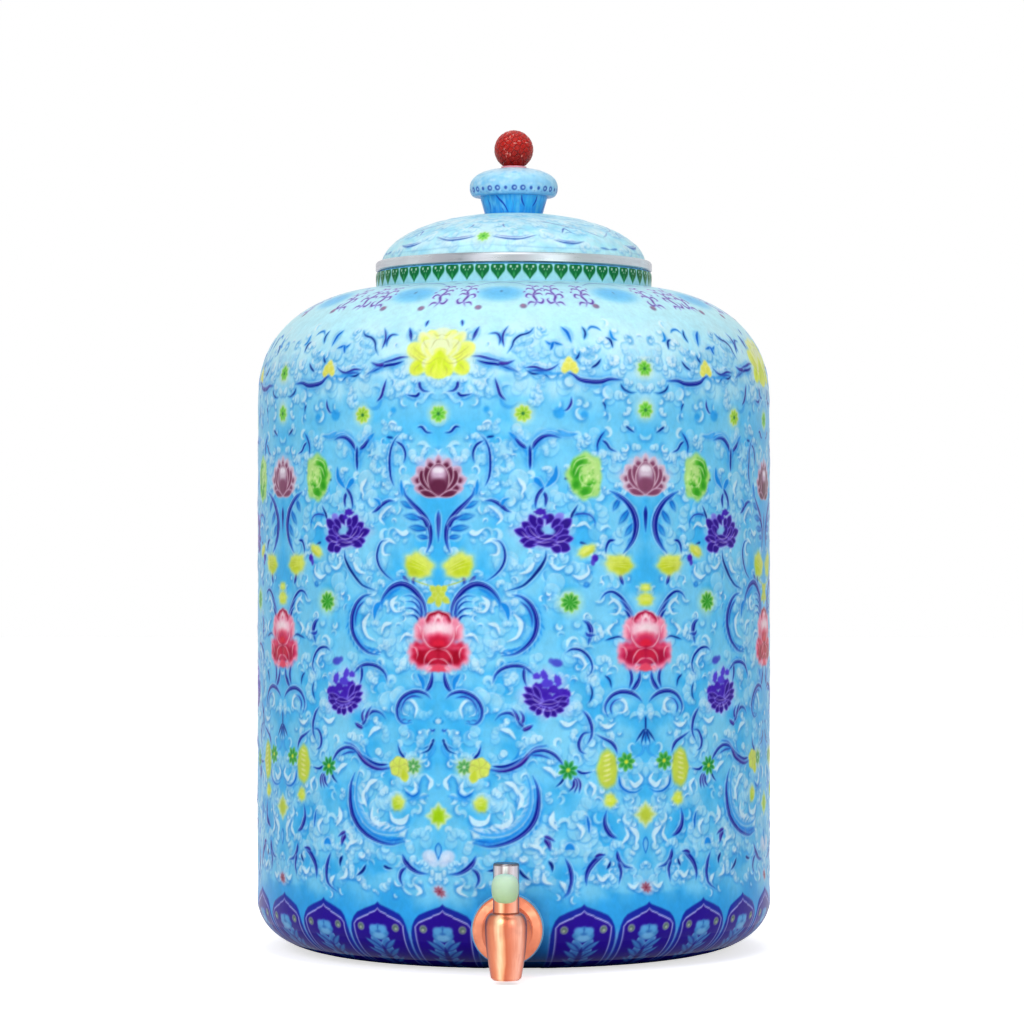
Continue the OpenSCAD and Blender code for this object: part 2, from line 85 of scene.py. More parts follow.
class Canvas:
    """A painted and modelled surface: x runs round it and s up its profile, both in millimetres."""

    def __init__(self, x0, x1, s0, s1, colour=(95, 190, 245)):
        self.x = np.arange(x0, x1 + CELL, CELL, dtype=np.float32)
        self.s = np.arange(s0, s1 + CELL, CELL, dtype=np.float32)
        self.rgb = np.empty((len(self.s), len(self.x), 3), np.float32)
        self.rgb[:] = np.array(colour, np.float32) / 255
        self.height = np.zeros(self.rgb.shape[:2], np.float32)
        self.stretch = lambda s: 1.0

    def window(self, x0, x1, s0, s1):
        """The canvas rows and columns from x0 to x1 and s0 to s1, with their coordinates."""
        i0, i1 = np.searchsorted(self.s, (s0, s1))
        j0, j1 = np.searchsorted(self.x, (x0, x1))
        if i0 >= i1 or j0 >= j1:
            return None
        cut = (slice(i0, i1), slice(j0, j1))
        return cut, self.x[None, j0:j1], self.s[i0:i1, None]

    def tint(self, cut, mask, colour):
        """Lays a colour over the window with the mask as its cover."""
        colour = np.asarray(colour, np.float32) / 255
        self.rgb[cut] += mask[..., None] * (colour - self.rgb[cut])

    def soften(self, times):
        """Takes out detail that is finer than the mesh that will carry the painting."""
        for _ in range(times):
            for field in (self.rgb, self.height):
                field[1:-1] = 0.25 * (field[:-2] + 2 * field[1:-1] + field[2:])
                field[:, 1:-1] = 0.25 * (field[:, :-2] + 2 * field[:, 1:-1] + field[:, 2:])

    def sample(self, x, s):
        """Colour and height at the points x, s."""
        i = np.clip((s - self.s[0]) / CELL, 0, len(self.s) - 1.001)
        j = np.clip((x - self.x[0]) / CELL, 0, len(self.x) - 1.001)
        i0, j0 = i.astype(int), j.astype(int)
        a, b = (i - i0).astype(np.float32), (j - j0).astype(np.float32)

        def mix(field):
            w = (a, b) if field.ndim == 2 else (a[..., None], b[..., None])
            low = field[i0, j0] * (1 - w[1]) + field[i0, j0 + 1] * w[1]
            high = field[i0 + 1, j0] * (1 - w[1]) + field[i0 + 1, j0 + 1] * w[1]
            return low * (1 - w[0]) + high * w[0]

        return mix(self.rgb), mix(self.height)


def ease(a, b, x):
    """A smooth step from 0 at a to 1 at b."""
    t = np.clip((x - a) / (b - a), 0, 1)
    return t * t * (3 - 2 * t)


def curve(points):
    """A smooth line through the points, as close samples."""
    p = np.array(points, float)
    if len(p) == 2:
        p = np.array([p[0], (p[0] + p[1]) / 2, p[1]])
    p = np.vstack([2 * p[0] - p[1], p, 2 * p[-1] - p[-2]])
    out = []
    for a, b, c, d in zip(p, p[1:], p[2:], p[3:]):
        n = max(2, int(np.hypot(*(c - b)) / 0.3))
        t = np.arange(n)[:, None] / n
        square, cube = (2 * a - 5 * b + 4 * c - d) * t**2, (3 * b - a - 3 * c + d) * t**3
        out.append(0.5 * (2 * b + (c - a) * t + square + cube))
    out.append(p[-2:-1])
    return np.vstack(out)


def line_field(canvas, line, reach):
    """Distance to a line, the share of its length there and the side, on the canvas round it."""
    lo, hi = line.min(0) - reach, line.max(0) + reach
    found = canvas.window(lo[0], hi[0], lo[1], hi[1])
    if found is None:
        return None
    cut, x, s = found
    shape = (s.shape[0], x.shape[1])
    near = np.full(shape, 1e6, np.float32)
    along, side = np.zeros(shape, np.float32), np.zeros(shape, np.float32)
    run = np.gradient(line, axis=0)
    run /= np.maximum(np.hypot(run[:, 0], run[:, 1])[:, None], 1e-9)
    last = len(line) - 1
    for k in range(0, last + 1, 6):
        part = line[k : k + 7]
        i0, i1 = np.searchsorted(s[:, 0], (part[:, 1].min() - reach, part[:, 1].max() + reach))
        j0, j1 = np.searchsorted(x[0], (part[:, 0].min() - reach, part[:, 0].max() + reach))
        if i0 >= i1 or j0 >= j1:
            continue
        dx = x[:, j0:j1, None] - part[:, 0].astype(np.float32)
        ds = s[i0:i1, :, None] - part[:, 1].astype(np.float32)
        d2 = dx * dx + ds * ds
        m = d2.argmin(-1)
        best = np.take_along_axis(d2, m[..., None], -1)[..., 0]
        old = near[i0:i1, j0:j1]
        better = best < old
        if not better.any():
            continue
        at = k + m
        turn = run[at, 0] * np.take_along_axis(np.broadcast_to(ds, d2.shape), m[..., None], -1)[..., 0]
        turn -= run[at, 1] * np.take_along_axis(np.broadcast_to(dx, d2.shape), m[..., None], -1)[..., 0]
        old[better] = best[better]
        along[i0:i1, j0:j1][better] = (at / last)[better]
        side[i0:i1, j0:j1][better] = turn[better]
    near = np.sqrt(near)
    return cut, near, along, np.where(side >= 0, near, -near)


def brush(canvas, points, width, colour, head=0.15, tail=0.6, cover=1.0, soft=0.22, glow=0.0,
          glow_colour=(30, 140, 230), inner=None, raised=0.0, under=None):
    """A brush line through the points, tapered over the shares head and tail of its length.

    glow is the reach of the colour that bleeds from it, inner the colour of a pale line inside it, and
    under the colour of a painted shadow line along its lower side. Glowing lines wider than 0.9 also get
    pale painted highlight lines along both sides.
    """
    line = curve(points)
    reach = width / 2 + soft + 4.4 * glow + 0.6
    found = line_field(canvas, line, reach)
    if found is None:
        return
    cut, near, along, side = found
    growing, ending = along / max(head, 1e-3), (1 - along) / max(tail, 1e-3)
    taper = np.sqrt(np.clip(growing, 0.04, 1) * np.clip(ending, 0.04, 1))
    half = width / 2 * taper
    if glow:
        fade = np.exp(-(np.clip(near - half, 0, None) / (1.5 * glow * (0.4 + taper))) ** 2)
        canvas.tint(cut, 0.58 * cover * fade * np.clip(1.6 * taper, 0, 1), glow_colour)
        if width > 0.9:
            # painted highlight: pale lines along both sides of the stroke, the left one stronger
            ridge_highlight = np.exp(-(((side - half - 0.5) / 0.32) ** 2))
            ridge_highlight = ridge_highlight + 0.5 * np.exp(-(((side + half + 0.5) / 0.32) ** 2))
            canvas.tint(cut, 0.6 * cover * ridge_highlight * np.clip(1.6 * taper, 0, 1), (208, 234, 252))
    mask = np.clip((half - near) / soft + 0.5, 0, 1) * cover
    thin = np.clip(1.15 - 1.4 * taper, 0, 0.75)[..., None] if glow else 0.0
    tone = np.asarray(colour, np.float32) * (1 - thin) + np.asarray(glow_colour, np.float32) * thin
    canvas.rgb[cut] += mask[..., None] * (tone / 255 - canvas.rgb[cut])
    # painted shadow: a blue line along the stroke's lower side
    if under is not None:
        mid = line[len(line) // 2 + 1] - line[len(line) // 2 - 1]
        way = 1 if mid[0] > 0 else -1
        fade = np.clip(1.5 * taper, 0, 1)
        for strength, off, wide in ((0.8, 0.15, 0.3), (0.45, 0.9, 0.7)):
            band = strength * cover * np.exp(-(((way * side + half + off) / wide) ** 2))
            canvas.tint(cut, band * fade, under)
    if inner is not None:
        line_half = 0.11 * width * taper
        off = np.abs(side - 0.2 * width * taper)
        canvas.tint(cut, np.clip((line_half - off) / 0.16 + 0.5, 0, 1) * mask * 0.6, inner)
    if raised:
        body = np.sqrt(np.clip(1 - (near / (half + 0.5)) ** 2, 0, 1))
        canvas.height[cut] += raised * body


def fronds(canvas, points, length, lean, count, colour, width, span, seed):
    """Tapered hairs that leave a line to one side, leaning along it, as in a feather."""
    draw = np.random.default_rng(seed)
    line = curve(points)
    run = np.gradient(line, axis=0)
    angle = np.arctan2(run[:, 1], run[:, 0])
    for share in np.linspace(span[0], span[1], count):
        k = int(share * (len(line) - 1))
        fullness = np.sin(np.pi * (share - span[0]) / (span[1] - span[0] + 1e-6))
        reach = length * draw.uniform(0.7, 1.15) * (0.55 + 0.45 * fullness)
        a = angle[k] + math.radians(lean)
        mid = line[k] + reach * 0.5 * np.array([math.cos(a), math.sin(a)])
        b = a - math.copysign(0.5, lean)
        tip = mid + reach * 0.55 * np.array([math.cos(b), math.sin(b)])
        brush(canvas, [line[k], mid, tip], width * draw.uniform(0.8, 1.2), colour, 0.05, 0.95, 0.75,
              soft=0.35)


def petal(canvas, base, tip, width, core, rim, fullest=0.6, soft=0.5, cover=1.0, split=0.55, raised=0.25,
          edge=None, blunt=0.7):
    """A petal from base to tip that is core-coloured inside and fades to rim at its edge and tip."""
    base, tip = np.array(base, float), np.array(tip, float)
    long = max(np.hypot(*(tip - base)), 1e-6)
    axis = (tip - base) / long
    reach = width / 2 + soft + 0.5
    lo, hi = np.minimum(base, tip) - reach, np.maximum(base, tip) + reach
    found = canvas.window(lo[0], hi[0], lo[1], hi[1])
    if found is None:
        return
    cut, x, s = found
    u = ((x - base[0]) * axis[0] + (s - base[1]) * axis[1]) / long
    v = -(x - base[0]) * axis[1] + (s - base[1]) * axis[0]
    w = np.clip(u, 0, 1) ** (math.log(0.5) / math.log(fullest))
    half = width / 2 * np.maximum(np.sin(np.pi * w), 0) ** blunt
    half = np.where((u <= 0) | (u >= 1), 0, half)
    # distance-like value that also closes the petal's two ends
    gap = np.minimum(half - np.abs(v), np.minimum(u, 1 - u) * long * 1.2)
    mask = ease(-soft * 0.5, soft * 0.5, gap) * cover
    share = np.clip(np.abs(v) / np.maximum(half, 1e-3), 0, 1)
    mix = np.clip(ease(split, 1.0, share) + ease(split + 0.1, 1.05, u), 0, 1)[..., None]
    colour = (1 - mix) * np.array(core, np.float32) / 255 + mix * np.array(rim, np.float32) / 255
    canvas.rgb[cut] += mask[..., None] * (colour - canvas.rgb[cut])
    if edge is not None:
        canvas.tint(cut, np.exp(-((gap - 0.15) / 0.28) ** 2) * cover, edge)
    if raised:
        dome = np.sqrt(np.clip(1 - share**2, 0, 1)) * np.maximum(np.sin(np.pi * np.clip(u, 0, 1)), 0) ** 0.5
        keep = np.clip(mask, 0, 1)
        canvas.height[cut] = canvas.height[cut] * (1 - 0.75 * keep) + raised * dome * keep


def blot(canvas, centre, rx, rs, colour, cover=1.0, soft=0.5, raised=0.0, turn=0.0, rough=0.0, seed=3):
    """A soft round spot, with a wavy edge where rough isn't 0."""
    reach = max(rx, rs) * (1 + rough) + soft + 1
    found = canvas.window(centre[0] - reach, centre[0] + reach, centre[1] - reach, centre[1] + reach)
    if found is None:
        return
    cut, x, s = found
    c, k = math.cos(turn), math.sin(turn)
    dx, ds = x - centre[0], s - centre[1]
    u, v = (dx * c + ds * k) / rx, (-dx * k + ds * c) / rs
    far = np.hypot(u, v)
    if rough:
        a = np.arctan2(v, u)
        draw = np.random.default_rng(seed)
        for n in (3, 5, 8):
            far = far * (1 + rough * 0.5 * np.sin(n * a + draw.uniform(0, 6.3)))
    mean = (rx + rs) / 2
    mask = ease(1 + soft / mean, 1 - soft / mean, far) * cover
    canvas.tint(cut, mask, colour)
    if raised:
        canvas.height[cut] += raised * np.sqrt(np.clip(1 - far**2, 0, 1))


def puffs(canvas, count, seed, room, light, shade, line, size=(1.4, 3.0), cover=0.5):
    """Curls of overlapping scallops, painted lighter on their upper side, with painted shadow and shade lines
    below: the glaze's moulded cloud ground.

    room(x, s) is the share of curls that a place keeps.
    """
    draw = np.random.default_rng(seed)
    for _ in range(count):
        x, s = draw.uniform(canvas.x[0], canvas.x[-1]), draw.uniform(canvas.s[0], canvas.s[-1])
        big, heading = draw.uniform(*size), draw.uniform(0, 2 * math.pi)
        turn = draw.choice((-1, 1)) * draw.uniform(0.45, 0.95)
        links, keep, strong = draw.integers(2, 6), draw.uniform(), draw.uniform(0.45, 1.15)
        if keep > room(x, s):
            continue
        for n in range(links):
            r = big * (1 - 0.13 * n) * draw.uniform(0.85, 1.15)
            scallop(canvas, x, s, r, light, shade, line, cover * strong)
            heading += turn
            x += r * 1.05 * math.cos(heading) * canvas.stretch(s)
            s += r * 1.05 * math.sin(heading)


def scallop(canvas, x0, s0, r, light, shade, line, cover):
    """One flat rounded scale with a pale face, a soft painted shadow below it and a fine painted shade line
    round its foot; its face is painted lighter toward the top, with a painted highlight round its top edge.
    """
    wide = canvas.stretch(s0)
    found = canvas.window(x0 - (r + 1.4) * wide, x0 + (r + 1.4) * wide, s0 - r - 1.4, s0 + r + 1.4)
    if found is None:
        return
    cut, x, s = found
    dx, ds = (x - x0) / wide, s - s0
    far = np.hypot(dx, ds)
    # up is 0 on the scale's shaded lower side and 1 on its lit upper side
    up = 0.5 + 0.5 * (0.45 * dx + 0.9 * ds) / r
    body = ease(r + 0.3, r - 0.3, far)
    low = np.hypot(dx - 0.25, ds + 0.45)
    # painted shadow under the scale's lower side
    canvas.tint(cut, ease(r + 1.1, r - 0.4, low) * (1 - body) * 0.5 * cover, shade)
    # the pale face, painted lighter toward its lit upper side
    canvas.tint(cut, body * cover * (0.55 + 0.45 * ease(0.15, 0.7, up)), light)
    rim = np.exp(-(((far - r) / 0.26) ** 2))
    # painted shade line round the lower rim, then a painted highlight round the upper rim
    canvas.tint(cut, rim * ease(0.7, 0.25, up) * 0.75 * cover, line)
    canvas.tint(cut, rim * ease(0.6, 0.9, up) * 0.6 * cover, (236, 248, 255))
    old = canvas.height[cut]
    face = 0.1 + 0.025 * r * np.sqrt(np.clip(1 - (far / r) ** 2, 0, 1))
    canvas.height[cut] = old + body * (0.4 * old + face - old) * min(1.0, cover + 0.3)


def star(canvas, centre, r, petals, core, rim, heart, halo=None, wide=0.5, turn=0.0):
    """A small flower of even petals round a heart."""
    if halo is not None:
        blot(canvas, centre, r * 1.2, r * 1.2, halo, 0.6, soft=r * 0.5)
    for k in range(petals):
        a = 2 * math.pi * k / petals + turn
        tip = (centre[0] + r * math.cos(a), centre[1] + r * math.sin(a))
        width = 2 * math.pi * r / petals * wide * 1.5
        petal(canvas, centre, tip, width, core, rim, 0.62, 0.35, split=0.4, raised=0.18)
    blot(canvas, centre, r * 0.2, r * 0.2, heart, 0.95, 0.3, raised=0.12)


def commas(canvas, count, seed, room, tones, under, width=(1.6, 3.2), length=(5, 10)):
    """Comma-shaped pale curls, each with a painted shadow line in blue under it, where room(x, s) keeps them.
    """
    draw = np.random.default_rng(seed)
    for _ in range(count):
        x, s = draw.uniform(canvas.x[0], canvas.x[-1]), draw.uniform(canvas.s[0], canvas.s[-1])
        heading, turn = draw.uniform(0, 2 * math.pi), draw.choice((-1, 1)) * draw.uniform(1.8, 4.2)
        long, wide, keep = draw.uniform(*length), draw.uniform(*width), draw.uniform()
        tone = tones[draw.integers(len(tones))]
        if keep > room(x, s):
            continue
        points = [(x, s)]
        for n in range(6):
            heading += turn / 6 * (0.6 + 0.2 * n)
            x, s = (x + long / 6 * math.cos(heading) * canvas.stretch(s), s + long / 6 * math.sin(heading))
            points.append((x, s))
        brush(canvas, points, wide, tone, 0.35, 0.8, 0.8, soft=0.45, raised=0.1, under=under)


def strokes(canvas, x, s, lines, width, colour, head, tail, cover, soft=0.3, wide=1.0):
    """Thin brush lines placed round the point x, s, such as the veins and edges of a flower's petals."""
    for points in lines:
        placed = [(x + wide * a, s + b) for a, b in points]
        brush(canvas, placed, width, colour, head, tail, cover, soft=soft)


def shades(canvas, stops):
    """Fills the canvas with colours that blend up its height; each stop is s and three values."""
    stops = np.array(stops, float)
    for c in range(3):
        canvas.rgb[..., c] = np.interp(canvas.s, stops[:, 0], stops[:, c + 1])[:, None] / 255


# ---------------------------------------------------------------- the pot's painting
INK, INK_SOFT, PLUM, NAVY = (10, 26, 142), (40, 60, 172), (44, 28, 142), (8, 30, 122)
SKY, AZURE, DEEP = (70, 170, 240), (24, 138, 228), (16, 104, 208)
INNER, PALE = (158, 172, 240), (196, 226, 250)
YELLOW, OLIVE, GREEN, MINT = (206, 226, 44), (176, 196, 40), (52, 160, 44), (170, 224, 140)
VIOLET, VIOLET_DEEP = (62, 26, 176), (44, 14, 138)
HALF_TURN = 101.7  # from a lotus column to the next one, round the wall
WALL_R, NECK_R = 129.5, 70.0  # radii of the wall and of the neck, in millimetres
SHOULDER_S, SHOULDER_LENGTH = 285, 95  # s where the wall starts to curve in, and from there to the neck
LAPPET_STEP = HALF_TURN / 3
LAPPET_TOP = 36  # s just over the lappets' tips

# brush lines: colour, width, head, tail, glow, raised, points
LINES = [
    # the upper band's branches
    (PLUM, 1.5, 0.3, 0.5, 0.7, 0.25,
     [(15.5, 294), (20, 293.8), (25, 292.4), (30, 291), (34, 288.6), (39, 285.4)]),
    (INK, 1.6, 0.3, 0.5, 0.9, 0.25, [(18, 292), (23, 290.6), (28, 290), (32, 288.6), (36, 286.6)]),
    (PLUM, 2.2, 0.1, 0.8, 0.8, 0.2, [(29, 290.6), (32.5, 290.4), (36.5, 291.8)]),
    (PLUM, 1.2, 0.3, 0.5, 0.5, 0.2, [(41, 288.2), (46, 288.6), (51, 287.2), (54.5, 288), (58, 290.4)]),
    (NAVY, 1.2, 0.3, 0.5, 0.5, 0.2, [(42, 287), (45.5, 285.4), (50, 285.6), (53.6, 283)]),
    (INK_SOFT, 0.8, 0.3, 0.5, 0.3, 0.1, [(43, 287), (48, 286.9), (52.5, 286.4)]),
    (SKY, 0.8, 0.3, 0.5, 0.3, 0.1, [(46, 285.6), (54, 285.4), (61, 285.9)]),
    (INK, 2.5, 0.35, 0.45, 1.1, 0.35,
     [(61.5, 286.2), (64.5, 285.2), (67.5, 283), (72, 282), (78, 281.9), (83, 283.2), (89.5, 282.8)]),
    (NAVY, 1.1, 0.2, 0.7, 0.5, 0.1, [(66, 292.4), (67.4, 294), (68.4, 296.6)]),
    (NAVY, 1.3, 0.3, 0.4, 0.6, 0.1, [(73.6, 288.4), (76.6, 290.2), (79, 293)]),
    (NAVY, 1.0, 0.2, 0.7, 0.5, 0.1, [(88.3, 281.2), (90, 278.6), (93.6, 277), (97, 277.2)]),
    (INK, 1.7, 0.1, 0.8, 1.0, 0.2, [(9.6, 282), (9.2, 279.4), (7.4, 277.6), (4.4, 277.2)]),
    (INK, 1.5, 0.1, 0.8, 0.8, 0.2, [(9.4, 276.8), (11, 275.2), (13.8, 275.4), (16.4, 276)]),
    (PLUM, 1.5, 0.4, 0.3, 0.7, 0.2, [(27.2, 283.4), (28.4, 279.6), (29.8, 275.4), (32.4, 272.8)]),
    (SKY, 0.9, 0.2, 0.6, 0.3, 0.1, [(29.6, 273.6), (31.6, 270.4), (35, 269.6), (38, 271.6)]),
    (PLUM, 1.3, 0.4, 0.5, 0.5, 0.1, [(63.6, 274.6), (63.4, 271.4), (61.6, 268.6), (59.6, 268)]),
    (NAVY, 0.9, 0.2, 0.6, 0.4, 0.1, [(79, 272.4), (80.2, 270.6), (80.5, 268.4)]),
    (NAVY, 1.2, 0.2, 0.5, 0.5, 0.1, [(91, 261), (93, 259.6), (95.6, 258)]),
    (INK, 1.3, 0.6, 0.3, 0.7, 0.1, [(3, 257.6), (6, 258), (8.4, 260.4), (10.6, 260.2)]),
    (NAVY, 1.1, 0.3, 0.3, 0.4, 0.1, [(23.2, 255.4), (27, 255.9)]),
    (INK, 2.0, 0.5, 0.4, 0.7, 0.1, [(18.6, 309.6), (17.2, 306.4), (15.8, 302)]),
    (PLUM, 1.1, 0.3, 0.6, 0.4, 0.1, [(9, 314), (9.6, 312), (9.8, 310)]),
    (PLUM, 1.2, 0.6, 0.3, 0.5, 0.1, [(33.4, 310), (31.4, 306.6), (30.6, 303), (31.4, 298.6)]),
    (PLUM, 1.0, 0.5, 0.4, 0.4, 0.1, [(23.6, 305.6), (27.6, 305.8), (29.4, 303), (29, 299.4)]),
    (NAVY, 1.2, 0.4, 0.5, 0.5, 0.1,
     [(46.4, 309), (43.6, 306), (39.4, 304.6), (36.4, 302), (35.2, 298.6), (33, 295.4)]),
    (DEEP, 2.0, 0.4, 0.5, 0.8, 0.1, [(60.2, 309.6), (63, 306.4), (64.6, 301)]),
    (NAVY, 1.1, 0.4, 0.4, 0.5, 0.1, [(71.2, 310), (72.4, 306.4), (71.2, 302.6)]),
    (DEEP, 0.9, 0.4, 0.4, 0.3, 0.1, [(73.6, 307.6), (76, 309.8), (79, 309.4), (81.2, 307.6)]),
    (NAVY, 1.4, 0.4, 0.4, 0.5, 0.1, [(82.6, 304), (85, 302.6), (85.8, 298.6)]),
    (AZURE, 1.6, 0.4, 0.4, 0.5, 0.1, [(86, 308), (86.4, 304), (88.6, 302.6)]),
    (DEEP, 1.6, 0.4, 0.4, 0.5, 0.1, [(51.6, 301.6), (54, 300), (56, 300.6), (60, 299.6)]),
    (DEEP, 1.4, 0.3, 0.4, 0.5, 0.1, [(55.6, 301), (54.8, 298.8), (54, 297)]),
    # thin arcs over the lotus flowers
    (INK, 1.2, 0.5, 0.3, 0.9, 0.25,
     [(20, 257), (22.6, 254), (24.4, 250), (25.1, 245), (25, 240), (24.2, 235.6), (22.4, 232)]),
    (INK, 1.2, 0.2, 0.5, 0.8, 0.25,
     [(21.8, 253.8), (18.6, 251.8), (17, 248.8), (16.9, 245.8), (17.8, 243.4)]),
    (INK, 1.1, 0.4, 0.5, 0.7, 0.2, [(80.6, 258.8), (78, 255.6), (76.4, 252), (76.8, 247.6)]),
    (INK, 1.2, 0.2, 0.6, 0.7, 0.2, [(78.8, 254.2), (81, 252.6), (83, 250), (86.6, 248.6)]),
    (AZURE, 2.6, 0.5, 0.3, 0.9, 0.1, [(34, 257.6), (37, 254.8), (39.6, 251.8)]),
    (INK, 2.1, 0.5, 0.2, 0.8, 0.25, [(36.4, 255.4), (39.2, 252.2), (42.2, 250)]),
    (INK, 1.6, 0.2, 0.3, 1.2, 0.25, [(43.8, 251.6), (43.9, 246), (43.8, 240)]),
    (AZURE, 3.0, 0.2, 0.7, 0.9, 0.1, [(46.4, 251), (48.6, 254.6), (53, 257), (60, 256)]),
    (INK, 2.2, 0.2, 0.7, 0.7, 0.25, [(44.8, 249.6), (46.6, 253), (50, 255.6), (54, 256.2), (58.4, 255)]),
    (SKY, 2.4, 0.3, 0.6, 0.6, 0.1, [(57, 258.6), (61.6, 256.6), (66.4, 257)]),
    # forked stems under the upper lotus flowers, with their seed
    (AZURE, 2.4, 0.3, 0.6, 0.6, 0.2, [(16.6, 227), (18.4, 230.6), (19, 235)]),
    (INK, 2.6, 0.45, 0.35, 0.5, 0.4,
     [(17.4, 231.4), (16.6, 228), (13.4, 224.4), (9.6, 220.8), (6.2, 216.8), (4.2, 212.4), (3.8, 207.6),
      (4.6, 203.6), (6, 200.6)]),
    (INK, 2.2, 0.1, 0.8, 0.4, 0.3, [(5, 212.6), (7.4, 216.4), (12, 218.4)]),
    (INK, 2.9, 0.3, 0.9, 0.4, 0.35, [(0, 220.4), (0, 217), (0, 212), (0, 206)]),
    (INK, 2.1, 0.5, 0.3, 0.9, 0.3, [(22.4, 225.2), (25.6, 225.4), (29.4, 223.6), (32.4, 221), (34.8, 219.8)]),
    (AZURE, 1.8, 0.2, 0.8, 0.7, 0.1, [(30.4, 223.2), (31.6, 225.4), (34, 226.4)]),
    (INK, 1.2, 0.4, 0.5, 0.8, 0.3,
     [(26.4, 206.6), (29.6, 205.8), (31.6, 202.4), (32, 198), (30.4, 193.6), (27, 189.8), (22.4, 186.8)]),
    (INK, 3.6, 0.5, 0.45, 0.6, 0.45,
     [(82.6, 230), (87.6, 227.8), (92, 224.2), (95.2, 219.6), (96.6, 214), (95.4, 208), (92.6, 203.6),
      (89.6, 200.4)]),
    (INK, 2.9, 0.3, 0.9, 0.4, 0.35, [(101.7, 223), (101.7, 219), (101.7, 215), (101.7, 210.6)]),
    (INK, 1.5, 0.2, 0.6, 0.7, 0.25, [(85.4, 206.6), (82.6, 206.2), (81, 203.6), (80.6, 200)]),
    (INK, 2.0, 0.3, 0.3, 0.5, 0.25, [(87.8, 191), (88.6, 188), (89.8, 185.2)]),
    (PLUM, 1.8, 0.3, 0.3, 0.5, 0.25, [(12, 189.2), (12.8, 187.4), (12.4, 185.2)]),
    (PLUM, 2.0, 0.3, 0.3, 0.5, 0.25, [(18.4, 189.6), (16.6, 188), (15, 185.6)]),
    (AZURE, 3.2, 0.2, 0.7, 0.8, 0.15, [(46, 236), (48.4, 233.4), (50.4, 230.6)]),
    (AZURE, 3.0, 0.5, 0.4, 0.8, 0.15, [(56.4, 241.6), (55.6, 236.6), (51.4, 231.8)]),
    (INK, 1.8, 0.2, 0.5, 0.6, 0.25, [(50.4, 231.6), (47.8, 228.4), (46.6, 225), (46.4, 221.6)]),
    (INK, 1.9, 0.2, 0.5, 0.6, 0.25, [(50.6, 229.4), (51.5, 226.2), (51, 222.4)]),
    (NAVY, 1.8, 0.3, 0.7, 0.8, 0.25,
     [(51.4, 201.6), (51.2, 198.4), (49.6, 195), (47, 191.4), (43.6, 187.6), (39.6, 184.6), (32.4, 182.4)]),
    (INK_SOFT, 0.9, 0.2, 0.6, 0.5, 0.15,
     [(63.2, 217), (65.4, 218.6), (69, 219.2), (72.8, 218.4), (75.2, 215.4), (74.8, 212)]),
    (NAVY, 1.4, 0.3, 0.6, 0.4, 0.15, [(63.2, 216.2), (64, 218.8), (66.8, 223.4)]),
    (NAVY, 1.0, 0.2, 0.6, 0.4, 0.1, [(67.6, 205.6), (71.4, 204.6)]),
    (NAVY, 1.1, 0.2, 0.6, 0.3, 0.1, [(60.2, 235.8), (62.8, 235.8)]),
    # arches round the peonies
    (INK, 2.9, 0.35, 0.4, 1.1, 0.45,
     [(7.6, 167.6), (6.6, 172), (7.6, 176.4), (10.4, 180.8), (14.2, 184.2), (19, 185.8), (24, 184.2),
      (28, 180.4), (30.4, 176.2)]),
    (INK, 1.4, 0.1, 0.9, 0.4, 0.2, [(8.4, 167.6), (9.8, 171.6), (13, 174), (17, 174.2)]),
    (INK, 1.3, 0.1, 0.9, 0.4, 0.2, [(8.2, 168.6), (9.2, 173.4), (12.4, 177), (16.6, 177.4)]),
    (INK_SOFT, 1.2, 0.1, 0.9, 0.4, 0.2, [(7.8, 170.6), (9.4, 176.6), (13.6, 180), (18, 179.8)]),
    (INK, 1.4, 0.1, 0.9, 0.4, 0.2, [(9, 167.4), (11.4, 170.4), (14.6, 171)]),
    (AZURE, 3.2, 0.2, 0.7, 0.9, 0.1, [(30.6, 176.8), (33, 173.4), (33.6, 169)]),
    (INK, 2.5, 0.35, 0.5, 1.0, 0.4,
     [(35.4, 180.8), (40, 179.6), (44, 176.2), (46.6, 171), (47, 165.6), (45.4, 160.4), (41.8, 156),
      (36.8, 152.8), (30.6, 151.8)]),
    (INK_SOFT, 1.1, 0.3, 0.5, 0.4, 0.15, [(39, 177.6), (42.6, 174.6), (44.6, 170), (44.8, 165)]),
    (INK, 1.8, 0.4, 0.4, 0.8, 0.3,
     [(26.2, 138.8), (27.6, 142.8), (31, 145.8), (36, 147.1), (41, 146.4), (44.8, 143.6), (46.8, 141.6)]),
    (INK, 1.7, 0.2, 0.6, 0.7, 0.25, [(41, 146), (41, 141.4), (42.4, 137)]),
    (INK, 2.6, 0.6, 0.4, 0.7, 0.4, [(3, 144.4), (3.3, 140.4), (4.6, 136.8), (7, 134)]),
    (AZURE, 2.6, 0.4, 0.6, 0.8, 0.1, [(10.4, 143), (8, 139.4), (7.6, 135.6)]),
    (INK, 2.0, 0.25, 0.6, 0.8, 0.4,
     [(3.8, 131.4), (6.4, 133.6), (11, 134.7), (16, 133.2), (19.6, 130), (21.2, 125.8), (20.4, 121.6),
      (17.8, 119.4), (13.6, 119.8)]),
    (INK_SOFT, 1.0, 0.3, 0.6, 0.4, 0.15,
     [(8, 131.6), (12.6, 132.4), (16.6, 130.4), (18.6, 126.6), (18, 123)]),
    (INK, 2.6, 0.6, 0.4, 0.7, 0.4, [(98.7, 144.6), (98.2, 140.6), (96.2, 137), (93.2, 134)]),
    (INK, 1.9, 0.6, 0.3, 0.6, 0.25, [(89.8, 147.8), (93, 145), (94.2, 140.6), (92.8, 136)]),
    (NAVY, 1.1, 0.3, 0.5, 0.5, 0.2, [(80, 142.4), (82.6, 140), (83.6, 136)]),
    (INK, 2.2, 0.6, 0.3, 0.8, 0.4,
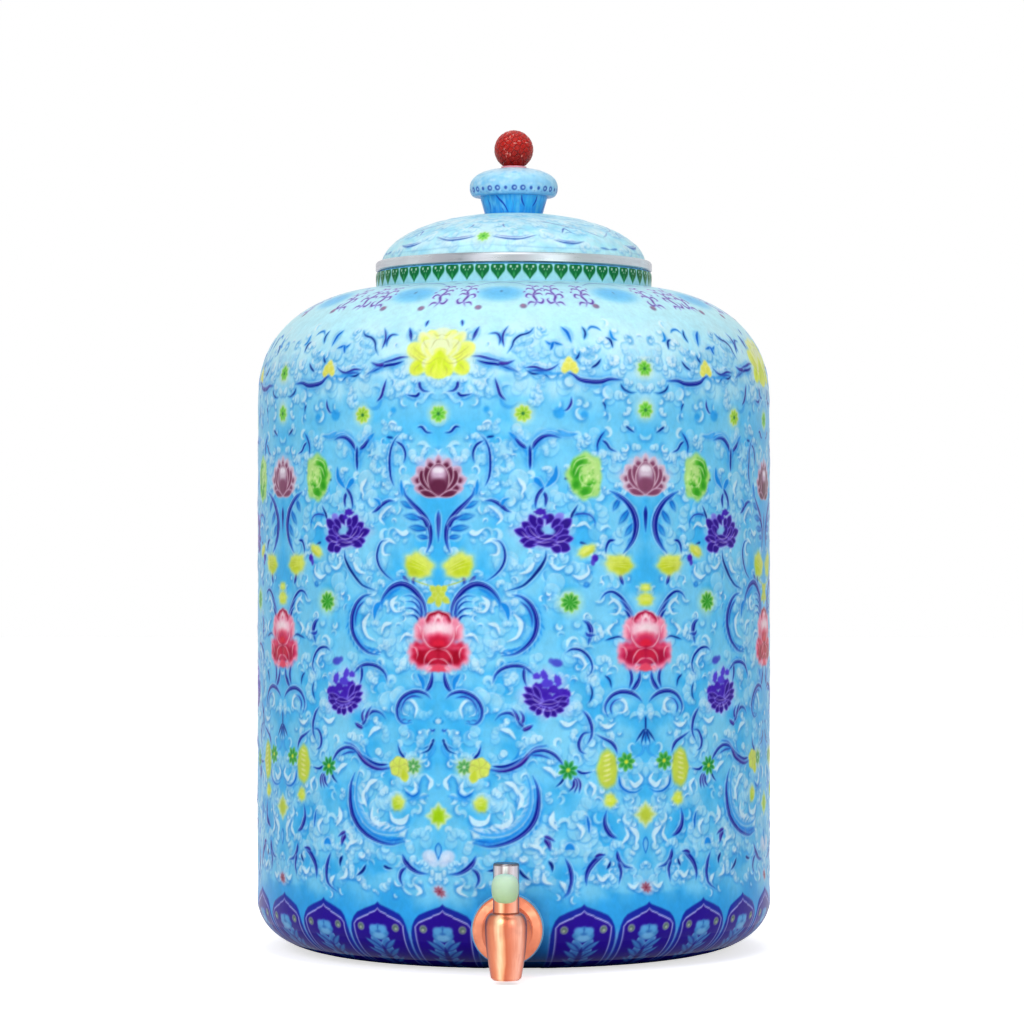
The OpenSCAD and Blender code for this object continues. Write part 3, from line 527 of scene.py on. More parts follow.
     [(81.8, 122.6), (80.2, 126), (81, 129.4), (84, 132.8), (88.6, 134.4), (93.6, 133.8), (97.4, 131.8),
      (99.8, 129.4)]),
    (INK_SOFT, 0.9, 0.3, 0.6, 0.4, 0.15, [(84, 123.4), (83, 126.8), (85, 130), (89, 131.4)]),
    (NAVY, 0.9, 0.3, 0.5, 0.4, 0.15, [(72.6, 138.4), (73.8, 134.4), (73, 130.8), (71.4, 128.8)]),
    (INK, 1.4, 0.3, 0.6, 0.7, 0.3,
     [(60.8, 153.2), (64, 154.9), (68.2, 154.3), (72, 151.2), (73.8, 147), (73, 143.6), (71, 141.8)]),
    (INK, 3.0, 0.4, 0.6, 0.6, 0.3, [(69.4, 168.4), (72, 166.6), (73.2, 162.8), (71.8, 157)]),
    (INK_SOFT, 1.6, 0.3, 0.6, 0.5, 0.2, [(70.4, 163), (72, 161.4), (75.4, 161.6)]),
    (INK, 1.6, 0.5, 0.2, 0.8, 0.3,
     [(77.6, 178), (80.4, 181.2), (84, 182), (88, 179.8), (92, 175.2), (95.6, 170.4)]),
    (INK, 1.7, 0.7, 0.1, 0.5, 0.25, [(87.6, 178.4), (91, 175), (94.6, 169.4)]),
    (INK, 1.5, 0.7, 0.1, 0.4, 0.2, [(89.6, 173.8), (91.6, 172), (93.8, 168.6)]),
    (NAVY, 0.9, 0.3, 0.4, 0.4, 0.15, [(80, 158.8), (84, 160), (87.6, 160.6), (90.6, 159.2)]),
    (OLIVE, 0.6, 0.3, 0.5, 0.0, 0.0, [(14, 188.2), (8, 186), (1, 184.2)]),
    # under the peonies
    (NAVY, 1.5, 0.1, 0.9, 0.6, 0.2, [(2.2, 112.2), (3.8, 109.2), (7.6, 107.4)]),
    (NAVY, 1.3, 0.1, 0.9, 0.6, 0.2, [(2.6, 110.6), (5, 106.8), (9.4, 105)]),
    (SKY, 1.1, 0.1, 0.9, 0.4, 0.2, [(1.6, 109), (3.8, 104.6), (8.6, 102.4)]),
    (INK_SOFT, 0.8, 0.2, 0.6, 0.3, 0.1, [(1.6, 117), (2.8, 116), (4.6, 117.2)]),
    (NAVY, 1.0, 0.1, 0.4, 0.4, 0.1, [(101.7, 122.6), (101.7, 118), (101.7, 109)]),
    (NAVY, 1.4, 0.1, 0.7, 0.5, 0.2, [(101.2, 116.4), (98.6, 113.4), (96.2, 110.2)]),
    (NAVY, 1.1, 0.1, 0.7, 0.4, 0.2, [(101.4, 115.4), (100, 112), (99.2, 109)]),
    (SKY, 1.0, 0.1, 0.9, 0.3, 0.1, [(101, 109), (99.6, 105), (95, 102.6)]),
    (INK, 2.2, 0.8, 0.2, 0.8, 0.3,
     [(27.4, 121.4), (30, 124), (34, 124.8), (37.4, 122.8), (39.6, 119.6), (41.4, 117.4)]),
    (PLUM, 1.7, 0.2, 0.8, 0.5, 0.2, [(38.6, 120.6), (37.4, 124), (35.2, 127)]),
    (PLUM, 1.7, 0.2, 0.8, 0.5, 0.2, [(40.2, 119.6), (40.6, 123), (38.8, 126)]),
    (PLUM, 2.2, 0.2, 0.4, 0.5, 0.25, [(40.2, 116.6), (42.6, 117.4), (45.2, 119)]),
    (INK, 1.5, 0.2, 0.8, 0.8, 0.15, [(17, 102.8), (19.4, 105.4), (20.8, 109.4)]),
    (PLUM, 2.9, 0.3, 0.5, 0.9, 0.35,
     [(25, 98.2), (29.6, 97.4), (34.4, 98.4), (39.6, 101), (43, 104.6), (46.6, 108), (51.6, 109.4)]),
    (INK, 1.4, 0.2, 0.6, 0.5, 0.25, [(26, 99.6), (31, 99.4), (36, 101), (41, 104)]),
    (INK, 1.7, 0.3, 0.3, 0.6, 0.3,
     [(42.6, 104), (46, 106.4), (50.4, 107), (55, 105.2), (58.2, 102), (59.8, 99.4)]),
    (INK_SOFT, 1.0, 0.3, 0.6, 0.4, 0.15, [(44, 104.8), (49, 104.6), (54.6, 102.6)]),
    (INK, 1.4, 0.2, 0.7, 0.5, 0.2, [(66.2, 97.4), (69.2, 96), (73.8, 96.6)]),
    (PLUM, 1.6, 0.2, 0.6, 0.4, 0.25, [(66, 94.2), (67.8, 91), (67.4, 86.6)]),
    (PLUM, 1.5, 0.2, 0.6, 0.4, 0.25, [(65, 94), (66.2, 90.6), (65, 86.6)]),
    (PLUM, 1.4, 0.2, 0.6, 0.4, 0.25, [(64.6, 93), (64.6, 90), (62.4, 87.4)]),
    (NAVY, 1.3, 0.2, 0.7, 0.4, 0.15, [(60.2, 94.4), (58.6, 91.8), (56, 89.6)]),
    (INK, 1.8, 0.3, 0.6, 0.8, 0.3, [(69, 125.8), (71.6, 122.8), (73.4, 118.4), (73.4, 113.6), (71, 109.4)]),
    (INK, 1.7, 0.5, 0.4, 0.7, 0.3, [(73, 115.4), (69.4, 114.6), (67.2, 110.4), (68, 106.6), (70.6, 105.2)]),
    (INK, 1.9, 0.7, 0.3, 0.6, 0.25,
     [(75.6, 114.4), (79.4, 112.4), (83.4, 110.4), (85.6, 107.8), (86.6, 105)]),
    (INK, 2.7, 0.35, 0.6, 1.0, 0.45,
     [(45, 95), (47.2, 90), (47.9, 84), (46.8, 76.4), (43.4, 70.2), (37.4, 65.4), (30.6, 62.6), (24, 61.6),
      (17, 63.2)]),
    (SKY, 1.6, 0.4, 0.5, 0.6, 0.2,
     [(42.4, 95.6), (44, 89), (44, 82), (42, 76), (37, 70.4), (30.6, 67.4), (22, 67.2), (15, 70)]),
    (SKY, 0.9, 0.2, 0.6, 0.4, 0.15, [(4.6, 85.4), (10, 83.8), (16.6, 82.4)]),
    (DEEP, 1.0, 0.2, 0.6, 0.4, 0.15, [(17, 87), (13, 84.8), (10, 86.6), (10.6, 89.6)]),
    (DEEP, 1.2, 0.2, 0.6, 0.5, 0.15, [(87.4, 94.6), (88.2, 90), (91.6, 87), (96, 86.4), (99.6, 88)]),
    # the low border of single strokes
    (INK, 2.9, 0.3, 0.7, 0.7, 0.4, [(18.2, 56.8), (16.6, 53.4), (13.4, 50.4), (9.8, 48.6), (5.6, 48.2)]),
    (INK, 1.9, 0.3, 0.6, 0.7, 0.3, [(16.2, 51), (18.8, 48.8), (19.6, 45.4), (18, 42)]),
    (NAVY, 1.6, 0.2, 0.6, 0.6, 0.2, [(28.6, 51.2), (26, 50.2), (23.6, 50)]),
    (NAVY, 1.8, 0.3, 0.5, 0.6, 0.25, [(38.4, 51.2), (40.4, 48.2), (44, 45.6)]),
    (NAVY, 2.0, 0.3, 0.5, 0.6, 0.25, [(52.6, 54.8), (54.2, 52.4), (54.4, 49.6)]),
    (INK, 2.4, 0.3, 0.7, 0.7, 0.35, [(60.6, 55.8), (62.8, 51.2), (63.6, 45.6), (62, 40.4), (57.6, 37)]),
    (INK, 3.0, 0.3, 0.5, 0.7, 0.35, [(80, 57.4), (75.4, 54.4), (72.2, 50.6), (70.8, 46.4), (71, 43)]),
    (PLUM, 1.6, 0.2, 0.6, 0.5, 0.2, [(75, 56), (77.4, 57.2), (80.4, 57)]),
    (NAVY, 1.5, 0.4, 0.4, 0.5, 0.2, [(81, 50.2), (82.2, 51.8), (83, 54)]),
    (INK, 2.3, 0.2, 0.7, 0.7, 0.35, [(86.4, 58.8), (87.2, 54.8), (90, 51.6), (94.6, 50.2)]),
    (INK, 1.8, 0.2, 0.7, 0.6, 0.3, [(86.8, 53.4), (88.5, 49), (87.4, 43)]),
    (INK, 2.8, 0.6, 0.3, 0.8, 0.4, [(80.9, 77.8), (80, 73.4), (80.8, 69.6), (83.2, 66.4), (86.4, 64.8)]),
    (DEEP, 1.5, 0.4, 0.5, 0.8, 0.2, [(71, 76), (72, 72), (72.2, 67.6)]),
    (PLUM, 3.2, 0.2, 0.6, 0.5, 0.35, [(50.8, 65.6), (52.6, 62.8), (53.4, 59.6)]),
    (PLUM, 1.7, 0.2, 0.6, 0.4, 0.25, [(50.4, 66.4), (52.6, 65.8), (55.8, 63.8)]),
    (AZURE, 3.4, 0.4, 0.4, 0.8, 0.1, [(60.6, 60), (62.8, 61.4), (65, 60)]),
]
INNER_FROM = 1.7  # ink and plum lines at least this wide have a pale line inside them

# feathers: colour, width, length, lean, count, span, points of the line they leave
FEATHERS = [
    (INK_SOFT, 0.8, 5.4, -36, 13, (0.25, 0.95),
     [(35.4, 180.8), (44, 176.2), (47, 165.6), (41.8, 156), (30.6, 151.8)]),
    (INK_SOFT, 0.8, 5.6, -40, 13, (0.3, 0.95),
     [(7, 172), (14.2, 184.2), (19, 185.8), (28, 180.4), (30.4, 176.2)]),
    (INK_SOFT, 0.8, 6.4, -30, 15, (0.15, 0.9),
     [(45, 95), (47.9, 84), (43.4, 70.2), (30.6, 62.6), (17, 63.2)]),
    (INK_SOFT, 0.8, 4.4, -40, 8, (0.3, 0.95),
     [(3.8, 131.4), (11, 134.7), (19.6, 130), (20.4, 121.6), (13.6, 119.8)]),
    (INK_SOFT, 0.8, 4.0, 42, 9, (0.1, 0.8), [(26.2, 138.8), (31, 145.8), (41, 146.4), (46.8, 141.6)]),
    (INK_SOFT, 0.8, 5.0, 34, 9, (0.1, 0.8), [(6.2, 216.8), (9.6, 220.8), (13.4, 224.4), (16.6, 228)][::-1]),
    (AZURE, 1.9, 5.2, 62, 9, (0.25, 0.75),
     [(35.4, 180.8), (44, 176.2), (47, 165.6), (41.8, 156), (30.6, 151.8)]),
    (AZURE, 1.6, 6.0, -38, 8, (0.45, 0.95),
     [(35.4, 180.8), (44, 176.2), (47, 165.6), (41.8, 156), (30.6, 151.8)]),
    (AZURE, 1.7, 6.4, -42, 10, (0.35, 0.98),
     [(7, 172), (14.2, 184.2), (19, 185.8), (28, 180.4), (30.4, 176.2)]),
    (DEEP, 1.2, 5.0, -30, 6, (0.55, 0.95),
     [(7, 172), (14.2, 184.2), (19, 185.8), (28, 180.4), (30.4, 176.2)]),
    (AZURE, 1.5, 4.6, 50, 7, (0.1, 0.7), [(26.2, 138.8), (31, 145.8), (41, 146.4), (46.8, 141.6)]),
    (AZURE, 2.0, 6.5, 55, 7, (0.15, 0.6), [(25, 98.2), (34.4, 98.4), (43, 104.6), (51.6, 109.4)]),
    (DEEP, 1.2, 4.5, -45, 6, (0.0, 0.5), [(25, 98.2), (34.4, 98.4), (43, 104.6), (51.6, 109.4)]),
    (AZURE, 2.4, 10.5, -34, 14, (0.12, 0.92), [(45, 95), (47.9, 84), (43.4, 70.2), (30.6, 62.6), (17, 63.2)]),
    (DEEP, 1.2, 9.0, -26, 13, (0.18, 0.9), [(45, 95), (47.9, 84), (43.4, 70.2), (30.6, 62.6), (17, 63.2)]),
    (PALE, 1.3, 8.0, -48, 12, (0.2, 0.9), [(42.4, 95.6), (44, 82), (37, 70.4), (22, 67.2), (15, 70)]),
    (AZURE, 1.6, 4.5, 58, 7, (0.3, 0.8), [(45, 95), (47.9, 84), (43.4, 70.2), (30.6, 62.6)]),
    (PALE, 1.2, 5.4, 40, 9, (0.15, 0.85), [(82.6, 230), (92, 224.2), (96.6, 214), (92.6, 203.6)][::-1]),
    (DEEP, 1.1, 6.0, 30, 8, (0.15, 0.85), [(82.6, 230), (92, 224.2), (96.6, 214), (92.6, 203.6)][::-1]),
    (AZURE, 1.5, 4.6, 50, 6, (0.2, 0.8), [(36.4, 255.4), (42.2, 250), (43.8, 244)][::-1]),
    (AZURE, 1.6, 4.2, -55, 6, (0.1, 0.7), [(43.8, 240), (43.9, 246), (46.6, 253), (54, 256.2)]),
    (AZURE, 1.3, 3.6, -50, 6, (0.2, 0.8), [(20, 257), (24.4, 250), (25, 240), (22.4, 232)][::-1]),
    (AZURE, 1.4, 3.8, 50, 6, (0.3, 0.9), [(60.6, 55.8), (63.6, 45.6), (57.6, 37)]),
    (AZURE, 1.5, 4.2, -50, 6, (0.1, 0.8), [(80, 57.4), (72.2, 50.6), (71, 43)]),
]

# pale swirls of the moulded ground: width and points
SWIRLS = [
    (3.0, [(22, 205), (26, 206.6), (29, 204), (28.4, 200), (25, 199.6)]),
    (2.2, [(12, 122), (11, 127), (14, 130.6), (18, 129), (18, 124.6), (15, 123)]),
    (2.4, [(84, 129), (88, 131), (91, 128.6), (90, 125), (86.6, 124.4)]),
    (2.8, [(21, 180), (24, 177), (22.6, 173), (18.6, 172.6)]),
    (3.0, [(36, 172), (39.6, 167), (38, 161), (33, 158.4)]),
    (2.6, [(64, 151.6), (68, 151.4), (70.4, 147.6), (68.4, 144.6)]),
    (2.6, [(82, 176), (85, 178), (88, 175), (86.4, 171.6), (83, 171.6)]),
    (3.2, [(12, 92), (11, 88), (14, 86), (17, 88.4)]),
    (3.0, [(5, 88), (3.4, 92), (6, 95)]), (3.4, [(93, 92), (96, 89.6), (99.4, 92.4), (97.6, 95.6)]),
    (2.4, [(89, 93.6), (90, 89.4), (94, 88)]),
    (4.0, [(15, 76), (18, 72.6), (23, 73), (25, 77)]), (3.2, [(27, 72), (31, 71), (35, 74), (34.6, 79)]),
    (3.0, [(38, 79), (40, 84), (37.6, 89)]),
    (3.4, [(32, 92), (36, 90.4), (38, 86)]), (3.2, [(58, 45), (60.6, 42), (60, 38.4)]),
    (3.0, [(50, 49), (51, 45), (54.6, 43.6)]),
    (3.0, [(12, 43), (9.4, 40), (12.6, 37.6)]), (2.8, [(92, 43), (95, 41), (98, 43)]),
    (2.6, [(76, 48), (79, 45), (82, 47)]),
    (2.6, [(89, 62), (92, 66), (90.6, 70)]), (3.6, [(93, 70), (97, 66), (96, 61)]),
    (2.6, [(66, 213), (70, 214.6), (73, 212)]),
    (3.0, [(24, 223), (28, 221), (30.4, 217), (28, 214)]), (3.4, [(14, 212), (18, 209.6), (22, 212)]),
    (3.0, [(38, 236), (41, 232), (39.6, 228)]),
    (2.6, [(64, 190), (68, 188.6), (72, 191), (71.4, 195)]), (3.0, [(46, 196), (43, 192), (39, 190.6)]),
    (2.6, [(53, 196), (57, 193), (61, 194.6)]),
    (2.8, [(24, 167), (28, 166), (29.4, 162.4)]), (2.2, [(13, 161), (17, 161.6), (19.6, 158)]),
    (2.4, [(85, 167), (82, 164), (84, 160.6)]),
    (3.2, [(58, 121), (62, 119), (66, 121)]), (2.6, [(78, 119), (82, 117.6), (85.6, 119.6)]),
    (3.2, [(30, 117), (34, 116), (37, 112.4)]),
    (3.0, [(50, 99), (53.6, 97.6), (56, 94)]), (2.6, [(72, 92), (75, 89), (73.6, 85)]),
    (3.6, [(55, 78), (54, 73), (57, 69)]),
    (3.0, [(44, 62), (48, 61), (50, 57.6)]), (3.4, [(5.4, 57.8), (4.2, 55.8), (1.6, 54)]),
    (2.6, [(66, 72), (69, 69), (68, 65)]),
]


def ground(canvas):
    """The washed ground: aqua at the shoulder, azure on the wall, darker at the foot, with paler clouds."""
    shades(canvas, [
        (-40, 24, 86, 188), (20, 44, 158, 230), (60, 58, 176, 238), (230, 62, 180, 241), (262, 80, 190, 245),
        (285, 142, 214, 249), (305, 178, 234, 251), (322, 190, 241, 252), (345, 180, 234, 250),
        (380, 156, 216, 240),
    ])
    draw = np.random.default_rng(5)
    for _ in range(420):
        x, s = draw.uniform(-4, HALF_TURN + 4), draw.uniform(LAPPET_TOP, 318)
        rx, rs = draw.uniform(3, 9), draw.uniform(3, 8)
        tint = (124, 208, 245) if s < 276 else (196, 240, 251)
        blot(canvas, (x, s), rx, rs, tint, 0.62 * openness(x, s), soft=rs * 0.8, rough=0.12, seed=int(s))


def openness(x, s):
    """How much of the moulded cloud ground a place has: none by the plain azure fields."""
    x = abs(x)
    far = HALF_TURN - x
    under_lotus = x < 15 and 222 < s < 233 or x < 5.5 and 180 < s < 222 or far < 5.5 and 185 < s < 226
    if under_lotus or s < LAPPET_TOP + 0.5 or s > 311:
        return 0.0
    room = 0.4 if s < LAPPET_TOP + 3 else 1.0
    if 262 < s < 272:  # the quiet band under the branches
        room *= 0.35
    if x < 6 and 60 < s < 136 or far < 5 and 50 < s < 135:  # the fields under the peonies
        room *= 0.25
    return room


def lotus(canvas, x, s):
    """The big yellow lotus of the shoulder band."""
    pale, warm, bright, strong = (230, 242, 190), (232, 244, 130), (226, 240, 90), (208, 232, 46)
    blot(canvas, (x, s + 1), 17, 12, (214, 240, 214), 0.55, soft=5, rough=0.08)
    for base, tip, width, core, rim in (
        ((0, 1), (0, 14.4), 13, pale, (222, 242, 214)), ((3, 2), (6.4, 13.0), 7, pale, warm),
        ((4, 2), (11.8, 11.6), 6.6, bright, pale), ((4.6, -2), (17.2, 4.8), 8.6, bright, warm),
        ((5, -2), (14.6, -8.8), 7.6, strong, bright), ((3, -2), (8.6, 7.4), 7.4, warm, pale),
        ((0, -3), (0, 8.2), 12.6, pale, pale), ((2, -5), (8.8, -3.8), 5.6, warm, pale),
        ((0, -2), (0, 3.6), 6.6, bright, warm), ((0, 2), (0, -12), 12.6, strong, bright),
        ((2, -2), (5.6, -10.4), 6.0, strong, bright),
    ):
        ends = (x + base[0], s + base[1]), (x + tip[0], s + tip[1])
        petal(canvas, *ends, width, core, rim, soft=2.0, blunt=0.5, split=0.3, raised=0.22)
    veins = (
        [(15.6, 0.6), (12.6, -1.4), (8.8, -3.9), (5.2, -4.4), (2.3, -2.4), (0, -1.6)],
        [(6.2, 2.6), (8.8, 6.0), (9.2, 8.8)], [(6.4, -1.4), (10, 0.4), (14.2, 3.8)],
        [(4.6, 3.4), (3.0, 7.0), (0, 8.0)], [(6.4, -2.8), (9.6, -1.6), (12.4, 1.0)],
        [(0, 10.4), (2.6, 9.6), (4.4, 11.2)], [(2.6, -5.2), (4.0, -8.0), (3.6, -10.2)],
        [(9.6, -4.6), (11.4, -6.0), (12.6, -7.8)],
    )
    strokes(canvas, x, s, veins, 0.55, (172, 172, 96), 0.3, 0.5, 0.6, soft=0.35)


def dusk_lotus(canvas, x, s, deep, mid, pale):
    """A dusky lotus with a shell-like middle petal, on its column at x."""
    way = 1 if x < HALF_TURN / 2 else -1
    blot(canvas, (x, s + 0.6), 12.4, 9.6, (206, 200, 236), 0.7, soft=3, rough=0.1)

    def leaf(base, tip, width, core, rim, **more):
        ends = (x + way * base[0], s + base[1]), (x + way * tip[0], s + tip[1])
        petal(canvas, *ends, width, core, rim, **{"raised": 0.12, **more})

    for base, tip, width in (
        ((0, 0), (0, 10.8), 4.6), ((1.6, 0), (5.4, 9.2), 5.6), ((4, -2), (11, 5.0), 6.2),
        ((4, -3), (14, -0.6), 6.0), ((3, -5), (12.4, -5.2), 5.4),
    ):
        short = (base[0] + 0.78 * (tip[0] - base[0]), base[1] + 0.78 * (tip[1] - base[1]))
        leaf(base, tip, width, mid, pale, soft=1.4, split=0.35)
        leaf(base, short, width * 0.66, deep, mid, soft=1.0, split=0.7)
    leaf((2.4, -8), (9.0, 3.6), 6.6, deep, mid, edge=(220, 192, 214), split=0.75)
    leaf((1.0, -8.8), (6.4, 5.4), 6.0, deep, mid, edge=(226, 196, 216), split=0.7)
    leaf((0, -9.2), (0, 6.8), 11.0, mid, deep, edge=(236, 212, 226), fullest=0.52, blunt=0.55, raised=0.25)
    blot(canvas, (x, s + 2.2), 3.8, 3.4, pale, 0.95, soft=1.6)
    blot(canvas, (x + way * 0.8, s + 3.4), 2.0, 1.4, (240, 232, 244), 0.85, soft=0.9)
    blot(canvas, (x, s - 4.4), 4.4, 3.8, deep, 0.9, soft=1.4)
    leaf((0, -9.4), (9.6, -6.6), 3.6, deep, mid, edge=(214, 180, 204))


def peony(canvas, x, s, deep, mid, pale):
    """A peony on its column at x: a dark crown, a pale bowl with a crimson heart, and a frilled skirt."""
    way = 1 if x < HALF_TURN / 2 else -1
    white, rosy = (252, 224, 232), (238, 132, 162)

    def lobe(dx, ds, rx, rs, tone, soft=1.0, seed=1, raised=0.12, cover=1.0, turn=0.0, rough=0.08):
        blot(canvas, (x + way * 0.94 * dx, s + ds), 0.94 * rx, rs, tone, cover,
             soft=soft, rough=rough, seed=seed, raised=raised, turn=way * turn)

    lobe(0, -1.4, 14.4, 12.0, (206, 196, 234), 4.4, 9, 0, 0.5)
    for dx, ds, r, seed in (
        (11.4, -5.0, 4.6, 7), (13.4, -8.4, 2.4, 4), (9.2, -11.0, 2.6, 3), (13.6, -3.6, 2.2, 8),
        (5.2, -12.6, 2.0, 5),
    ):
        lobe(dx, ds, r, r, (242, 150, 180), 1.4, seed, rough=0.1)
    lobe(9.0, -5.6, 5.4, 5.2, mid, 1.6, 8, 0.1, rough=0.14)
    lobe(9.4, -4.6, 3.2, 2.6, (230, 84, 118), 1.6, 8, 0.05, 0.8)
    lobe(8.2, -7.2, 4.2, 3.4, deep, 1.4, 8, 0.05, 0.95)
    for dx, ds, r, seed in ((9.8, 6.6, 3.2, 4), (10.4, 3.2, 2.6, 8), (8.4, 9.2, 2.2, 2)):
        lobe(dx, ds, r, r, (244, 172, 194), 1.2, seed, rough=0.1)
    lobe(7.6, 6.4, 3.6, 4.6, rosy, 1.8, 5, 0.08, rough=0.1)
    lobe(8.0, 2.4, 2.6, 3.0, mid, 1.8, 5, 0.05, 0.6)
    lobe(0, 10.4, 6.8, 4.2, deep, 0.9, 2, rough=0.08)
    lobe(0, 9.8, 5.2, 3.0, rosy, 1.2, 3, 0.05)
    lobe(0, 10.8, 1.6, 2.4, white, 0.9, 3, 0.08, 0.9)
    lobe(0, 9.6, 1.0, 1.4, mid, 0.6, 3, 0.0, 0.8)
    lobe(0, 5.2, 8.0, 5.0, pale, 1.4, 6, 0.2, rough=0.1)
    lobe(0, 5.8, 4.8, 3.0, white, 2.0, 6, 0.08, 0.95)
    lobe(6.0, 5.6, 2.0, 2.8, white, 1.4, 2, 0.05, 0.5, 0.4)
    lobe(0, 0.2, 7.2, 4.0, (228, 76, 112), 2.2, 3, 0.12)
    lobe(0, -0.4, 5.6, 3.0, mid, 1.6, 3, 0.05)
    lobe(0, -0.9, 3.4, 1.9, (220, 30, 62), 1.2, 3, 0.05)
    lobe(0, -7.0, 8.4, 4.4, deep, 1.0, 4, 0.15)
    lobe(3.6, -6.4, 3.6, 2.6, (206, 34, 68), 1.6, 6, 0.08, 0.8)
    lobe(0, -9.4, 4.0, 2.0, mid, 1.4, 6, 0.05, 0.7)
    lobe(0, -12.6, 4.4, 1.9, (232, 74, 104), 0.9, 3, 0.12, rough=0.12)
    edges = (
        [(0, 14.6), (4.8, 13.4), (7.2, 10.0), (6.4, 7.4)], [(8.4, 5.6), (7.8, 1.4), (4.6, -2.4), (0, -3.4)],
        [(1.0, -3.6), (4.4, -4.4), (6.9, -7.4), (7.6, -11.0)],
        [(0, -8.2), (3.0, -8.6), (5.4, -10.8), (6.0, -12.6)],
        [(2.6, 12.8), (1.9, 10), (2.8, 7.6)], [(14.6, -2.6), (12.2, -3.0), (11.0, -5.8), (11.6, -8.6)],
        [(11.6, 8.4), (9.6, 6.4), (9.4, 3.2)], [(3.0, -12.2), (5.6, -13.4)],
    )
    strokes(canvas, x, s, edges, 0.6, white, 0.3, 0.4, 0.75, soft=0.35, wide=way * 0.94)


def aster(canvas, x, s):
    """A violet many-petalled flower over a pale halo."""
    blot(canvas, (x, s + 0.4), 14.0, 8.6, (190, 206, 246), 0.6, soft=3, rough=0.1)
    petal(canvas, (x + 4.4, s + 4), (x + 9.6, s + 8.6), 4.4, (124, 122, 228), (140, 140, 236), soft=0.8)
    for base, tip, width in (
        ((-1, -3), (-14.0, 0.8), 4.6), ((-1, -2), (-10.4, 4.4), 4.6), ((-1, -1), (-6.6, 8.2), 4.6),
        ((-0.4, 1), (-2.2, 7.0), 3.6), ((1, 3), (4.4, 8.4), 4.6), ((3, -1), (8.0, 6.4), 4.8),
        ((4, -2), (13.6, 6.2), 5.0), ((4, -3), (12.4, 0.4), 4.4), ((3, -4), (14.6, -3.2), 4.2),
        ((3, -5), (13.0, -8.4), 5.4), ((2, -5), (8.4, -9.6), 4.4), ((0, -4), (-11.4, -4.4), 4.2),
        ((1, -3.6), (-9.6, -6.8), 4.0), ((-1, -4), (-8.4, 2.2), 4.4), ((0, -4), (-2.4, 3.4), 4.6),
        ((1, -4), (9.4, 3.2), 4.0), ((-6, -3.6), (7, -3.0), 4.4), ((-5, -6), (7, -5.2), 4.0),
    ):
        petal(canvas, (x + base[0], s + base[1]), (x + tip[0], s + tip[1]), width,
              VIOLET_DEEP, (70, 40, 190), edge=(124, 110, 226), soft=0.35, fullest=0.66, raised=0.12,
              split=0.7)
    blot(canvas, (x + 2.2, s + 0.6), 3.4, 1.7, (128, 196, 240), 0.9, 0.8, turn=-0.3)
    blot(canvas, (x - 1.4, s + 9.4), 2.8, 1.6, VIOLET, 0.95, raised=0.1, rough=0.15)
    blot(canvas, (x + 1.0, s + 7.0), 1.6, 1.1, VIOLET, 0.95, raised=0.1, rough=0.15)
    edges = (
        [(-7.4, 3.4), (-5.4, -0.4), (-1.4, -3.2), (3, -3.2), (6.6, -0.6), (8.6, 2.6)],
        [(-10.6, 0.2), (-7.4, -2.8), (-3.6, -3.8)], [(5, -5), (9, -4.6), (12.4, -2.6)],
        [(-4.6, -4.6), (0, -5.2), (5, -4.4)], [(4, -6), (8, -6.6)],
    )
    strokes(canvas, x, s, edges, 0.55, (186, 178, 246), 0.3, 0.5, 0.9)


def knapweed(canvas, x, s):
    """The lower violet flower: loose florets over a dense cup."""
    blot(canvas, (x, s), 12, 11.4, (186, 204, 246), 0.62, soft=3, rough=0.12)
    for dx, ds, rx, rs, turn in (
        (-4.6, 8.8, 1.9, 1.5, 0), (-1.0, 9.2, 1.6, 2.6, 0.5), (5.4, 6.6, 1.7, 2.8, 0.3),
        (0.4, 5.4, 2.9, 2.1, 0), (3.2, 2.4, 2.6, 1.9, 0.3), (7.4, 1.0, 2.9, 2.0, 0.2),
        (10.0, 0.2, 1.7, 1.9, 0), (-4.4, 3.4, 2.7, 2.1, 0.4), (0, -1.8, 3.2, 2.8, 0),
        (5.4, -1.6, 2.9, 2.2, 0), (-1.4, 1.2, 2.8, 2.0, 0.2), (8.4, -2.6, 2.6, 1.8, 0),
    ):
        floret = (80, 58, 208) if ds > 5 else VIOLET
        blot(canvas, (x + dx, s + ds), rx, rs, floret, 0.97, 0.45,
             raised=0.12, turn=turn, rough=0.12, seed=int(9 + dx))
    for base, tip, width in (
        ((-1, -3), (-10.6, 3.8), 3.8), ((-1, -4), (-11.4, 0.2), 3.6), ((0, -5), (-10.8, -3.0), 3.6),
        ((0, -6), (-8.4, -6.4), 3.6), ((0, -5), (10.8, -1.0), 3.8), ((0, -6), (11.0, -4.2), 3.6),
        ((0, -6), (8.6, -7.6), 3.8), ((0, -6), (5, -10.4), 3.6), ((0, -5), (0.6, -11.2), 3.8),
        ((-2, -5), (-4.6, -9.8), 3.4), ((-2, -3), (-6.4, 4.4), 3.2), ((-4, -4.6), (6, -4), 3.8),
    ):
        petal(canvas, (x + base[0], s + base[1]), (x + tip[0], s + tip[1]), width,
              VIOLET_DEEP, (66, 36, 186), edge=(130, 118, 230), soft=0.35, fullest=0.6, raised=0.12,
              split=0.7)
    edges = ([(-8, 1), (-5, -3), (0, -4.6), (5, -3.6), (8.6, -0.6)], [(-7, -4), (-2, -7), (3, -7.4), (8, -5)])
    strokes(canvas, x, s, edges, 0.5, (184, 176, 244), 0.3, 0.5, 0.85)


